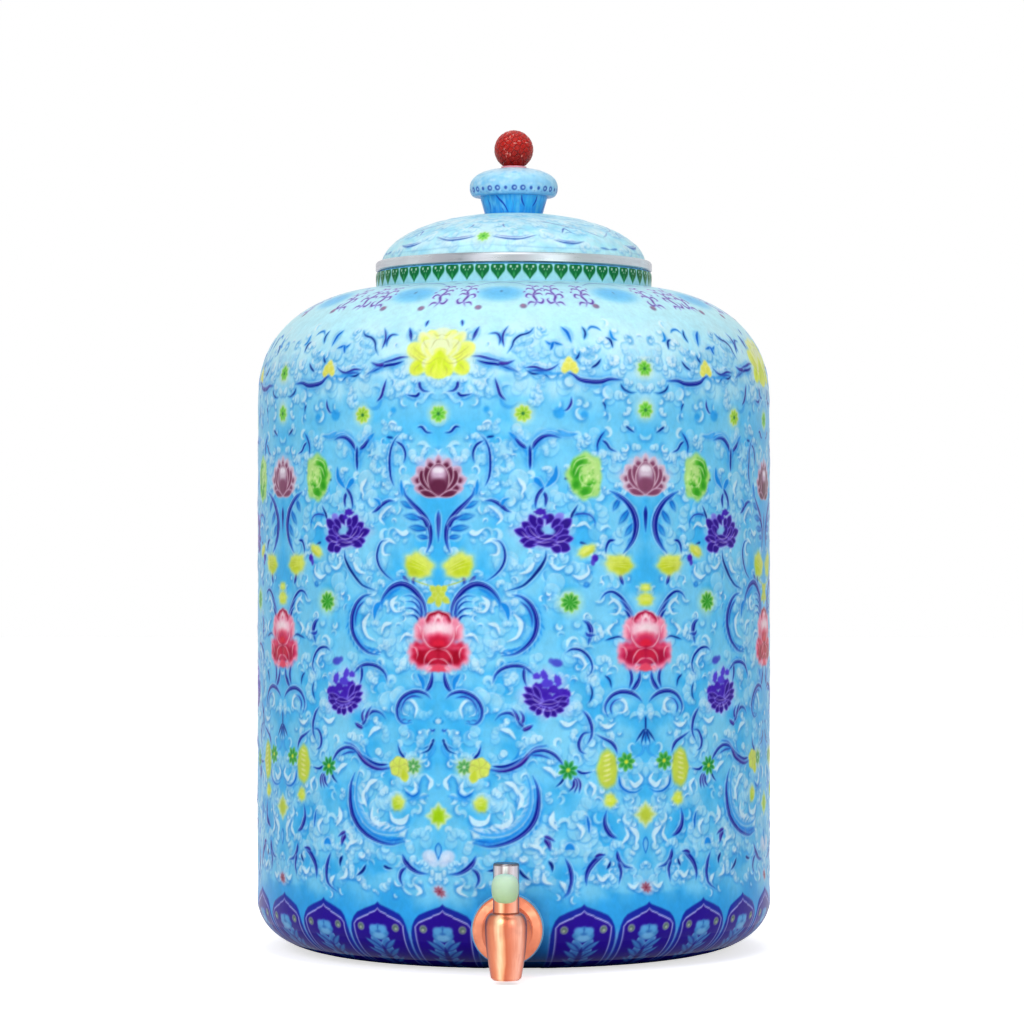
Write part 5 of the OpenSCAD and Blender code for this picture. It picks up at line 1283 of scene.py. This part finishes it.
class Profile:
    """A turned outline, read by its length s in millimetres; s_at is a point on it and the s it has there."""

    def __init__(self, points, s_at=None):
        points = np.asarray(points, float)
        keep = np.ones(len(points), bool)
        keep[1:] = np.hypot(*np.diff(points, axis=0).T) > 1e-6
        self.points = points[keep]
        self.s = np.concatenate([[0], np.cumsum(np.hypot(*np.diff(self.points, axis=0).T))])
        if s_at is not None:
            point, value = s_at
            self.s += value - self.s[np.argmin(np.hypot(*(self.points - np.array(point)).T))]

    def at(self, s):
        """Radius, height and outward normal at s."""
        r, z = np.interp(s, self.s, self.points[:, 0]), np.interp(s, self.s, self.points[:, 1])
        e = 0.6
        dr = np.interp(s + e, self.s, self.points[:, 0]) - np.interp(s - e, self.s, self.points[:, 0])
        dz = np.interp(s + e, self.s, self.points[:, 1]) - np.interp(s - e, self.s, self.points[:, 1])
        n = np.maximum(np.hypot(dr, dz), 1e-9)
        return r, z, dz / n, -dr / n


def turned(profile, s, phi, lift):
    """Points in metres at the grid of s and phi (degrees from -Y toward +X), lifted off the profile."""
    r, z, nr, nz = [v[:, None] for v in profile.at(s)]
    a = np.radians(phi)[None, :]
    radius, height = r + nr * lift, z + nz * lift + 0 * a
    return np.stack([radius * np.sin(a), -radius * np.cos(a), height], -1) * MM


def folded(phi, axis, repeat=90.0):
    """Degrees from the nearest column axis, mirrored between one column and the next."""
    a = (phi - axis) % repeat
    return np.where(a > repeat / 2, repeat - a, a)


# ---------------------------------------------------------------- materials
class Shader:
    """A node material with one Principled shader, and short ways to add its nodes."""

    def __init__(self, name, colour=(0.8, 0.8, 0.8, 1), roughness=0.4, metallic=0.0, **sockets):
        self.material = bpy.data.materials.new(name)
        self.material.use_nodes = True
        self.tree = self.material.node_tree
        self.bsdf = self.tree.nodes["Principled BSDF"]
        self.set(self.bsdf, {"Base Color": colour, "Roughness": roughness, "Metallic": metallic, **sockets})
        self.coords = self.tree.nodes.new("ShaderNodeTexCoord").outputs["Object"]

    def set(self, node, values):
        """Sets a node's inputs, by value or by link."""
        for key, value in values.items():
            if isinstance(value, bpy.types.NodeSocket):
                self.tree.links.new(value, node.inputs[key])
            else:
                node.inputs[key].default_value = value

    def node(self, kind, inputs=None, **settings):
        """A new node with its settings and inputs."""
        made = self.tree.nodes.new("ShaderNode" + kind)
        for key, value in settings.items():
            setattr(made, key, value)
        self.set(made, inputs or {})
        return made

    def scaled(self, x=1.0, y=1.0, z=1.0):
        """Object coordinates stretched along each axis."""
        return self.node("Mapping", {"Vector": self.coords, "Scale": (x, y, z)}).outputs["Vector"]

    def noise(self, scale, vector=None, detail=4.0, rough=0.5):
        """Noise from 0 to 1, with scale in cycles a metre."""
        inputs = {"Vector": vector or self.coords, "Scale": scale, "Detail": detail, "Roughness": rough}
        return self.node("TexNoise", inputs).outputs["Fac"]

    def ramp(self, value, low, high, a, b):
        """value from low to high, mapped to a to b."""
        inputs = {"Value": value, "From Min": low, "From Max": high, "To Min": a, "To Max": b}
        return self.node("MapRange", inputs).outputs["Result"]

    def mix(self, share, a, b, blend="MIX"):
        """Two colours mixed by share."""
        made = self.node("Mix", data_type="RGBA", blend_type=blend)
        for socket, value in ((made.inputs["Factor"], share), (made.inputs[6], a), (made.inputs[7], b)):
            if isinstance(value, bpy.types.NodeSocket):
                self.tree.links.new(value, socket)
            else:
                socket.default_value = value
        return made.outputs[2]

    def math(self, operation, a, b=0.0):
        """One step of arithmetic."""
        made = self.node("Math", operation=operation)
        for socket, value in zip(made.inputs, (a, b)):
            if isinstance(value, bpy.types.NodeSocket):
                self.tree.links.new(value, socket)
            else:
                socket.default_value = value
        return made.outputs[0]

    def split(self, vector):
        """The X, Y and Z of a vector."""
        return self.node("SeparateXYZ", {"Vector": vector}).outputs

    def bump(self, height, strength, distance, before=None):
        """A bump map, on top of another where one is given."""
        inputs = {"Height": height, "Strength": strength, "Distance": distance}
        if before is not None:
            inputs["Normal"] = before
        return self.node("Bump", inputs).outputs["Normal"]

    def colour(self, socket):
        """Sets the surface's colour from a socket."""
        self.tree.links.new(socket, self.bsdf.inputs["Base Color"])
        return self

    def roughness(self, socket):
        """Sets the surface's roughness from a socket."""
        self.tree.links.new(socket, self.bsdf.inputs["Roughness"])
        return self

    def normal(self, socket):
        """Sets the surface's normal from a socket."""
        self.tree.links.new(socket, self.bsdf.inputs["Normal"])
        return self


def dress(piece, shader):
    """Gives a piece or CAD node one material."""
    piece.data.materials.clear()
    piece.data.materials.append(shader.material)
    return piece


def painted_glaze(name, roughness=0.3, gloss=0.06):
    """Glaze over the painted colours: faint pooling, brush grain and orange peel."""
    m = Shader(name, roughness=roughness, **{"Specular IOR Level": gloss})
    paint = m.node("VertexColor", layer_name="paint").outputs["Color"]
    wash = m.ramp(m.noise(140, detail=5), 0.3, 0.7, 0.94, 1.05)
    grain = m.ramp(m.noise(420, m.scaled(1, 1, 0.7), 6, 0.62), 0.3, 0.7, 0.93, 1.06)
    both = m.math("MULTIPLY", wash, grain)
    shade = m.node("CombineColor", {"Red": both, "Green": both, "Blue": both}).outputs["Color"]
    m.colour(m.mix(1.0, paint, shade, "MULTIPLY"))
    peel = m.noise(320, detail=3)
    fine = m.noise(1300, detail=2)
    return m.normal(m.bump(fine, 0.05, 0.0002, m.bump(peel, 0.12, 0.0006)))


def clay_and_glaze():
    """Terracotta where the body is bare, and glaze on its outside."""
    m = Shader("clay_glaze", roughness=0.3, **{"IOR": 1.5})
    x, y, z = m.split(m.coords)
    normal = m.node("NewGeometry").outputs["Normal"]
    nx, ny, nz = m.split(normal)
    outward = m.math("ADD", m.math("MULTIPLY", x, nx), m.math("MULTIPLY", y, ny))
    up = m.ramp(nz, 0.2, 0.6, 0.0, 0.02)
    outside = m.ramp(m.math("ADD", outward, up), 0.001, 0.006, 0.0, 1.0)
    low = m.ramp(z, 0.0, 0.0006, 0.0, 1.0)
    glazed = m.math("MULTIPLY", outside, low)
    cloud = m.noise(60, detail=6)
    speck = m.noise(900, detail=2)
    clay = m.mix(m.ramp(cloud, 0.35, 0.65, 0, 1), tone(186, 112, 78), tone(206, 136, 100))
    clay = m.mix(m.ramp(speck, 0.62, 0.7, 0, 0.5), clay, tone(150, 84, 58))
    # painted shade: the glaze is darker toward the floor
    height = m.ramp(z, 0.0, 0.03, 0.0, 1.0)
    glaze = m.mix(height, tone(30, 84, 150), tone(92, 184, 240))
    glaze = m.mix(m.ramp(m.noise(160), 0.35, 0.7, 0, 0.35), glaze, tone(150, 214, 250))
    m.colour(m.mix(glazed, clay, glaze))
    m.roughness(m.ramp(glazed, 0, 1, 0.82, 0.22))
    throwing = m.noise(420, m.scaled(0.12, 0.12, 1), 2)
    return m.normal(m.bump(throwing, 0.25, 0.0008, m.bump(speck, 0.12, 0.0003)))


def brushed_metal(name, light, dark, roughness, stretch=(1, 1, 0.06), scale=900, tarnish=None):
    """Polished metal with fine brush lines and, where tarnish is given, a breath of tarnish."""
    m = Shader(name, roughness=roughness, metallic=1.0)
    lines = m.noise(scale, m.scaled(*stretch), 3)
    bands = m.noise(scale * 0.16, m.scaled(*stretch), 2)
    base = m.mix(m.ramp(bands, 0.38, 0.62, 0, 1), light, dark)
    if tarnish is not None:
        base = m.mix(m.ramp(m.noise(130, detail=5), 0.5, 0.78, 0, 0.5), base, tarnish)
    m.colour(base)
    m.roughness(m.ramp(lines, 0.3, 0.7, roughness * 0.8, roughness * 1.35))
    return m.normal(m.bump(lines, 0.06, 0.0002))


def soft_matter(name, light, dark, roughness, scale=400, strength=0.15, **sockets):
    """A mottled non-metal such as rubber or stone."""
    m = Shader(name, roughness=roughness, **sockets)
    cloud = m.noise(scale, detail=5)
    m.colour(m.mix(m.ramp(cloud, 0.35, 0.65, 0, 1), light, dark))
    return m.normal(m.bump(m.noise(scale * 6, detail=2), strength, 0.0002))


# ---------------------------------------------------------------- the pot's glaze
RELIEF = 0.95  # millimetres of relief for a height of 1 in the painting
FOOT_S = (0.0, 15.0)  # the glaze gets duller below each of these, where it turns under the pot
TAP_HEIGHT = 22.6  # of the tap's axis over the floor
FOOT_SHADE = ([-39, -24, -12, 0, 10, 24], [0.12, 0.2, 0.36, 0.6, 0.82, 1.0])  # darkening by s at the foot
POT = Profile(
    np.vstack(
        [
            [[p[0], 25 - p[1]] for p in quarter(78, 0, WALL_R - 78, 25, (3.05, 1.9))][::-1],
            quarter(69.7, 274, WALL_R - 69.7, 59.5, (1.8, 2.6)),
            [[69.7, 342.4]],
        ]
    ),
    ((WALL_R, 25.0), 25.0),
)
PANELS, PANEL_COLS = 12, 128
COLUMN_AXIS, LAPPET_AXIS = -14.7, -13.8  # degrees from the tap to a lotus column, and to a lappet


def pot_skin():
    """The glaze of the wall in upright panels that meet, each small enough to hold the painting finely."""
    canvas = paint_pot()
    s = np.linspace(POT.s[0] + 0.4, POT.s[-1] - 0.2, 781)
    phi = np.linspace(0, 360, PANELS * PANEL_COLS + 1)
    low = ease(36, 42, s)[:, None]
    angle = folded(phi[None, :], LAPPET_AXIS + (COLUMN_AXIS - LAPPET_AXIS) * low)
    rgb, height = canvas.sample(np.radians(angle) * WALL_R, s[:, None] + 0 * angle)
    around = (phi[None, :] + 180) % 360 - 180
    x, z = np.radians(around) * WALL_R, POT.at(s)[1][:, None]
    # plain washed glaze behind the tap, with painted shade: darker toward the floor and in a ring round the
    # flange
    bare = ease(17.4, 16.6, np.abs(x - 2.7)) * ease(46, 38, z + 0.25 * np.abs(x))
    far = np.hypot(x, z - TAP_HEIGHT)
    azure, shade = np.array([60, 166, 232]), np.array([14, 84, 150])
    wash = azure + (shade - azure) * ease(30, 0, z)[..., None]
    wash = wash * (1 - 0.12 * ease(22, 16, far)[..., None]) / 255
    rgb = rgb + bare[..., None] * (wash - rgb)
    # painted shade: the wall's colour darkens toward the floor and under the pot, red most and blue least
    foot = np.interp(s, *FOOT_SHADE)[:, None, None]
    rgb = rgb * foot ** np.array([1.3, 1.1, 0.75])
    height = height * (1 - bare)
    edge = ease(POT.s[0], POT.s[0] + 6, s) * ease(POT.s[-1], POT.s[-1] - 1.0, s)
    lift = 0.08 + edge[:, None] * (0.24 + RELIEF * height)
    # under the pot the glaze stays above the floor
    _, level, _, down = POT.at(s)
    room = np.where(down < -0.02, (level - 0.03) / np.maximum(-down, 0.02), 9.0)[:, None]
    lift = np.minimum(lift, np.maximum(room, 0.0))
    points = turned(POT, s, phi, lift)
    points[:, -1] = points[:, 0]
    normals = grid_normals(points)
    glazes = [
        painted_glaze("pot_glaze"),
        painted_glaze("pot_low_glaze", 0.35, 0.03),
        painted_glaze("pot_foot_glaze", 0.45, 0.0),
    ]
    zone = np.repeat(2 - np.searchsorted(FOOT_S, s[:-1]), PANEL_COLS).astype(np.int32)
    for k in range(PANELS):
        cut = (slice(None), slice(k * PANEL_COLS, (k + 1) * PANEL_COLS + 1))
        panel = grid_mesh(f"pot_glaze_{k + 1:02d}", points[cut], rgb[cut], normals[cut])
        for glaze in glazes:
            panel.data.materials.append(glaze.material)
        panel.data.polygons.foreach_set("material_index", zone)
        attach(panel, "pot")


pot_skin()
clay = clay_and_glaze()
for node in ("vessel", "lid", "knob"):
    dress(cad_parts[node], clay)


def ring_skin(name, canvas, profile, half, scale, axis, s, columns, glaze, lift=0.22):
    """A painted skin all round a lid part, folded every two halves (degrees) about its axis."""
    phi = np.linspace(0, 360, columns + 1)
    angle = folded(phi[None, :], axis, 2 * half) + 0 * s[:, None]
    rgb, height = canvas.sample(np.radians(angle) * scale, s[:, None] + 0 * angle)
    edge = (ease(s[0], s[0] + 1.0, s) * ease(s[-1], s[-1] - 1.0, s))[:, None]
    points = turned(profile, s, phi, 0.06 + edge * (lift + RELIEF * height))
    points[:, -1] = points[:, 0]
    piece = dress(grid_mesh(name, points, rgb, grid_normals(points)), glaze)
    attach(piece, "lid_set")


lid_glaze = painted_glaze("lid_glaze")
DOME = Profile(quarter(0, 346.2, 67, 26.5, (2, 2), 2.16, 72.6))
dome_rows = np.linspace(0.4, DOME.s[-1] - 0.1, 97)
ring_skin("lid_glaze_skin", paint_lid(), DOME, 60, LID_R, -12.6, dome_rows, 720, lid_glaze)
WASHER_R = 6.4  # the knob's glaze ends under the washer
top = math.degrees(math.acos((WASHER_R / KNOB_R) ** 1.15))
KNOB = Profile(
    np.vstack(
        [
            np.array([(14.2, 371.6), (17.0, 381.55), (19.8, 381.7)]),
            quarter(20.0, 386.1, 2.2, -4.4, (2, 2), 0, 90)[::-1],
            quarter(0, 386.1, KNOB_R, 10, (2.3, 2.3), 0, top),
        ]
    )
)
knob_rows = np.linspace(0.1, KNOB.s[-1] - 0.3, 150)
ring_skin("knob_glaze_skin", paint_knob(), KNOB, 90, KNOB_R, -60.0, knob_rows, 540, lid_glaze, 0.16)


BALL_R, BALL_Z = 9.8, 405.56
BALL_FOOT_Z, BALL_FOOT_UP = 396.95, -60.4  # its flat foot: height, and degrees up the ball


def carved_ball():
    """The glossy red ball on top, carved all over with small scales; painted shade darkens its grooves and
    its lower part, and pale painted glints dot it.
    """
    rows, cols, count = 221, 400, 150
    k = np.arange(count) + 0.5
    height, turn = 1 - 2 * k / count, k * math.pi * (1 + 5**0.5)
    flat = np.sqrt(1 - height**2)
    knots = np.stack([flat * np.cos(turn), flat * np.sin(turn), height], 1)
    up = np.radians(np.linspace(BALL_FOOT_UP, 90, rows))[:, None]
    around = np.linspace(0, 2 * math.pi, cols + 1)[None, :]
    way = np.stack([np.cos(up) * np.cos(around), np.cos(up) * np.sin(around), np.sin(up) + 0 * around], -1)
    near = np.arccos(np.clip(way.reshape(-1, 3) @ knots.T, -1, 1))
    near = np.sort(near, 1)[:, :3].reshape(*way.shape[:2], 3)
    groove = ease(0.0, 0.09, near[..., 1] - near[..., 0])
    curl = 0.5 + 0.5 * np.cos(near[..., 0] * 70)
    lift = (0.15 * groove + 0.12 * groove * curl - 0.1) * ease(BALL_FOOT_UP, -50, np.degrees(up))
    points = (way * (BALL_R + lift)[..., None] + np.array([0, 0, BALL_Z])) * MM
    points[0, :, 2] = BALL_FOOT_Z * MM
    points[:, -1] = points[:, 0]
    # painted shade: dark red in the grooves between the scales
    deep, face = np.array([118, 4, 4]), np.array([184, 20, 12])
    tones = deep + groove[..., None] * (face - deep)
    # painted shade: the lower part of the ball darker
    tones = tones * (0.7 + 0.3 * ease(-40, 20, np.degrees(up)))[..., None]
    # painted glints: sixty pale pink flecks as highlights
    draw = np.random.default_rng(12)
    for _ in range(60):
        lat, lon = np.radians(draw.uniform(-25, 72)), draw.uniform(0, 2 * math.pi)
        tall, wide = draw.uniform(0.05, 0.1), draw.uniform(0.018, 0.032)
        if draw.uniform() < 0.35:
            tall, wide = wide, tall
        off = (around - lon + math.pi) % (2 * math.pi) - math.pi
        mask = np.exp(-(((up - lat) / tall) ** 4) - (off * math.cos(lat) / wide) ** 4)
        tones = tones + 0.8 * mask[..., None] * (np.array([250, 190, 176]) - tones)
    ball = grid_mesh("carved_ball", points, tones / 255, grid_normals(points))
    m = Shader("carved_red", roughness=0.12, **{"Specular IOR Level": 0.16})
    paint = m.node("VertexColor", layer_name="paint").outputs["Color"]
    m.colour(m.mix(m.ramp(m.noise(500, detail=4), 0.3, 0.7, 0, 0.4), paint, tone(196, 36, 24)))
    m.normal(m.bump(m.noise(900, detail=2), 0.06, 0.0003))
    dress(ball, m)
    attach(ball, "lid_set")
    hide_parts("finial_ball")


carved_ball()


def coil_spring(name, centre, radius, wire, low, high, turns):
    """A closed-end compression spring, as a tube along a helix whose first and last turns lie flat."""
    steps, around = turns * 40, 12
    t = np.linspace(0, 1, steps + 1)
    flat = 0.9 / turns
    rise = np.interp(t, [0, flat, 1 - flat, 1],
                     [0, wire * 2.1, (high - low) - wire * 4.1, high - low - wire * 2])
    a = 2 * math.pi * turns * t
    path = np.stack([centre[0] + radius * np.cos(a), centre[1] + radius * np.sin(a), low + wire + rise], 1)
    run = np.gradient(path, axis=0)
    run /= np.linalg.norm(run, axis=1, keepdims=True)
    out = np.stack([np.cos(a), np.sin(a), 0 * a], 1)
    side = np.cross(run, out)
    b = np.linspace(0, 2 * math.pi, around + 1)
    size = wire * np.minimum(1, 0.02 + 40 * np.minimum(t, 1 - t))[:, None, None]
    across = np.cos(b)[None, :, None] * out[:, None] + np.sin(b)[None, :, None] * side[:, None]
    points = path[:, None] + size * across
    points[:, -1] = points[:, 0]
    return grid_mesh(name, points * MM)


# ---------------------------------------------------------------- metal, stone and rubber
def reflection_bands(name, tones, roughness, axis_y=0.158, blur=0.10, grain=(1, 1, 0.05)):
    """Satin metal whose colour holds painted reflections and shade, in long bands set by the angle round
    an upright axis at y = -axis_y.

    tones are degrees round that axis, each with its colour. Returns the shader and its base colour.
    """
    m = Shader(name, roughness=roughness, metallic=1.0)
    x, y, _ = m.split(m.coords)
    around = m.math("ARCTAN2", x, m.math("MULTIPLY", m.math("ADD", y, axis_y), -1.0))
    fine = m.noise(900, m.scaled(*grain), 3)
    wander = m.math("MULTIPLY", m.math("SUBTRACT", m.noise(60, m.scaled(1, 1, 0.6), 2), 0.5), blur)
    place = m.math("ADD", m.math("ADD", m.math("DIVIDE", around, 2 * math.pi), 0.5), wander)
    ramp = m.node("ValToRGB", {"Fac": place})
    stops = ramp.color_ramp.elements
    while len(stops) < len(tones):
        stops.new(0.5)
    for stop, (degrees, colour) in zip(list(stops), tones):
        stop.position = degrees / 360 + 0.5
    for stop, (_, colour) in zip(list(stops), tones):
        stop.color = tone(*colour)
    base = m.mix(m.ramp(fine, 0.4, 0.7, 0, 0.28), ramp.outputs["Color"], tone(*tones[1][1]))
    m.colour(base)
    m.roughness(m.ramp(fine, 0.3, 0.7, roughness * 0.85, roughness * 1.2))
    m.normal(m.bump(fine, 0.04, 0.0002))
    return m, base


def copper_with_painted_reflections():
    """Copper with painted reflections: cream and orange bands in front, darker at the sides, plainer behind,
    with a breath of tarnish.
    """
    # painted reflections by angle round the spout: a cream highlight at -22 degrees, darker bands at the
    # sides
    tones = [
        (-180, (206, 120, 88)), (-120, (190, 104, 76)), (-84, (150, 92, 84)), (-60, (190, 104, 74)),
        (-38, (214, 132, 98)), (-22, (246, 208, 168)), (-12, (238, 176, 132)), (-2, (190, 100, 70)),
        (12, (204, 120, 92)), (30, (226, 156, 130)), (46, (232, 172, 150)), (62, (196, 112, 84)),
        (84, (146, 96, 94)), (120, (196, 110, 80)), (179, (206, 120, 88)),
    ]
    m, base = reflection_bands("copper", tones, 0.36)
    m.colour(m.mix(m.ramp(m.noise(110, detail=5), 0.55, 0.8, 0, 0.4), base, tone(160, 92, 84)))
    return m


flange_copper = brushed_metal("flange_copper", tone(222, 144, 112), tone(204, 120, 90), 0.42,
                              stretch=(1, 1, 1), scale=300, tarnish=tone(176, 98, 76))
copper = copper_with_painted_reflections()
steel = brushed_metal("steel", tone(206, 208, 212), tone(182, 184, 190), 0.28)
# painted reflections and shade on the lid's trim ring: grey bands by angle, darker at the sides and in front
TRIM_REFLECTION_TONES = [
    (-180, (200, 202, 206)), (-90, (160, 160, 172)), (-62, (192, 198, 204)), (-45, (206, 214, 218)),
    (-34, (176, 178, 184)), (-18, (138, 144, 150)), (-4, (170, 176, 180)), (12, (136, 146, 150)),
    (27, (168, 180, 182)), (46, (190, 202, 208)), (68, (190, 204, 212)), (90, (156, 158, 170)),
    (179, (200, 202, 206)),
]
trim, trim_base = reflection_bands("trim", TRIM_REFLECTION_TONES, 0.3, axis_y=0.0, blur=0.05, grain=(0.1, 0.1, 1))
trim.colour(trim.mix(trim.ramp(trim.noise(120, detail=5), 0.45, 0.75, 0, 0.45), trim_base,
                     tone(170, 168, 176)))
fibre = soft_matter("fibre_gasket", tone(168, 92, 66), tone(140, 72, 52), 0.7)
# painted reflections on the tap's cap: a white highlight down its front, grey bands, dark at its sides
CAP_REFLECTION_TONES = [
    (-180, (190, 186, 192)), (-84, (112, 104, 110)), (-64, (168, 160, 164)), (-36, (206, 198, 200)),
    (-16, (150, 134, 134)), (-6, (252, 250, 248)), (4, (250, 246, 244)), (14, (166, 150, 152)),
    (38, (204, 198, 204)), (66, (178, 176, 186)), (84, (116, 114, 124)), (179, (190, 186, 192)),
]
cap, cap_base = reflection_bands("cap", CAP_REFLECTION_TONES, 0.3, blur=0.03)
height = cap.split(cap.coords)[2]
cap.colour(cap.mix(cap.ramp(height, 0.0551, 0.0555, 0, 0.8), cap_base, tone(76, 70, 76)))
rubber = soft_matter("rubber", tone(34, 34, 36), tone(44, 44, 46), 0.6)
# the finial washer's pink is a painted reflection of the red ball above it
pink = soft_matter("pink_washer", tone(236, 142, 164), tone(244, 170, 186), 0.45)


def jade_bead():
    """A smooth pale jade bead, mintier at its top and warmer at its foot, with faint clouds; it is also
    painted lighter at its top and darker at its foot, as painted light and shade.
    """
    glow = {"Subsurface Weight": 0.2, "Subsurface Radius": (0.004, 0.006, 0.003), "Subsurface Scale": 1.0}
    m = Shader("jade", roughness=0.5, **glow, **{"Specular IOR Level": 0.3})
    z = m.split(m.coords)[2]
    # painted light and shade: lighter at the top and darker at the foot, along with the bead's own shift from
    # warm to mint
    base = m.mix(m.ramp(z, 0.040, 0.052, 0, 1), tone(172, 200, 140), tone(196, 226, 206))
    base = m.mix(m.ramp(m.noise(150, detail=4), 0.4, 0.75, 0, 0.5), base, tone(206, 230, 190))
    m.colour(base)
    return m.normal(m.bump(m.noise(900, detail=2), 0.08, 0.0002))


jade = jade_bead()
coat = {"Coat Weight": 0.6, "Coat Roughness": 0.05}
red = soft_matter("red_glaze", tone(190, 34, 24), tone(160, 20, 18), 0.12, **coat)
FINISH = {
    "copper": (copper, ["tap_body", "valve_housing"]),
    "flange": (flange_copper, ["tap_flange", "tap_backnut"]),
    "fibre": (fibre, ["housing_gasket"]),
    "steel": (
        steel,
        [
            "knob_stud", "knob_washer", "knob_nut", "tap_slip_washer", "plunger_rod", "lift_collar",
            "lever_pin", "lever", "valve_spring",
        ],
    ),
    "trim": (trim, ["lid_trim_ring"]),
    "cap": (cap, ["valve_cap"]),
    "rubber": (rubber, ["tap_outer_seal", "tap_inner_seal", "rod_seal", "plunger_plug"]),
    "pink": (pink, ["finial_washer"]),
    "jade": (jade, ["lever_grip"]),
    "red": (red, ["finial_ball"]),
}
spring = dress(coil_spring("spring_coil", (0, -158.0), 2.42, 0.34, 46.05, 53.9, 6), steel)
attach(spring, "pot")
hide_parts("valve_spring")
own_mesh(spring)
for shader, nodes in FINISH.values():
    for node in nodes:
        dress(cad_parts[node], shader)


# ---------------------------------------------------------------- floor, light and backdrop
def floor_material():
    """A pale floor that looks white and keeps the object's shadow."""
    m = Shader("floor", tone(244, 244, 244), 0.9)
    path = m.node("LightPath").outputs
    mirrored = m.math("MAXIMUM", path["Is Glossy Ray"], path["Is Transmission Ray"])
    seen = m.math("MAXIMUM", path["Is Camera Ray"], mirrored)
    m.set(m.bsdf, {"Emission Color": (1, 1, 1, 1), "Emission Strength": m.math("MULTIPLY", seen, 0.66)})
    return m


floor = grid_mesh("floor", np.array([[(x, y, 0.0) for x in (-6, 6)] for y in (-6, 6)], float))
dress(floor, floor_material())

WORLD_LIGHT = 0.3  # strength of the white backdrop as light; the camera and reflections see it at 1


def white_world():
    """A white backdrop that lights the scene less than it shows."""
    world = bpy.data.worlds.new("studio")
    bpy.context.scene.world = world
    world.use_nodes = True
    tree = world.node_tree
    back = tree.nodes["Background"]
    path = tree.nodes.new("ShaderNodeLightPath")
    seen = tree.nodes.new("ShaderNodeMath")
    seen.operation = "MAXIMUM"
    also = tree.nodes.new("ShaderNodeMath")
    also.operation = "MAXIMUM"
    tree.links.new(path.outputs["Is Glossy Ray"], also.inputs[0])
    tree.links.new(path.outputs["Is Transmission Ray"], also.inputs[1])
    tree.links.new(path.outputs["Is Camera Ray"], seen.inputs[0])
    tree.links.new(also.outputs[0], seen.inputs[1])
    level = tree.nodes.new("ShaderNodeMapRange")
    tree.links.new(seen.outputs[0], level.inputs["Value"])
    level.inputs["To Min"].default_value = WORLD_LIGHT
    level.inputs["To Max"].default_value = 1.0
    tree.links.new(level.outputs["Result"], back.inputs["Strength"])
    back.inputs["Color"].default_value = (1, 1, 1, 1)


white_world()


def softbox(name, place, aim, size, power):
    """A square soft light that faces a point."""
    data = bpy.data.lights.new(name, "AREA")
    data.energy, data.size, data.shape = power, size, "SQUARE"
    lamp = bpy.data.objects.new(name, data)
    bpy.context.scene.collection.objects.link(lamp)
    lamp.location = place
    lamp.rotation_euler = (Vector(aim) - Vector(place)).to_track_quat("-Z", "Y").to_euler()


softbox("key", (-1.1, -2.4, 1.5), (0, 0, 0.2), 1.3, 32)
softbox("fill", (1.3, -2.2, 0.9), (0, 0, 0.2), 1.3, 15)
softbox("top", (0.1, -0.4, 2.2), (0, 0, 0.2), 1.5, 14)

bpy.context.scene.view_settings.view_transform = "Standard"
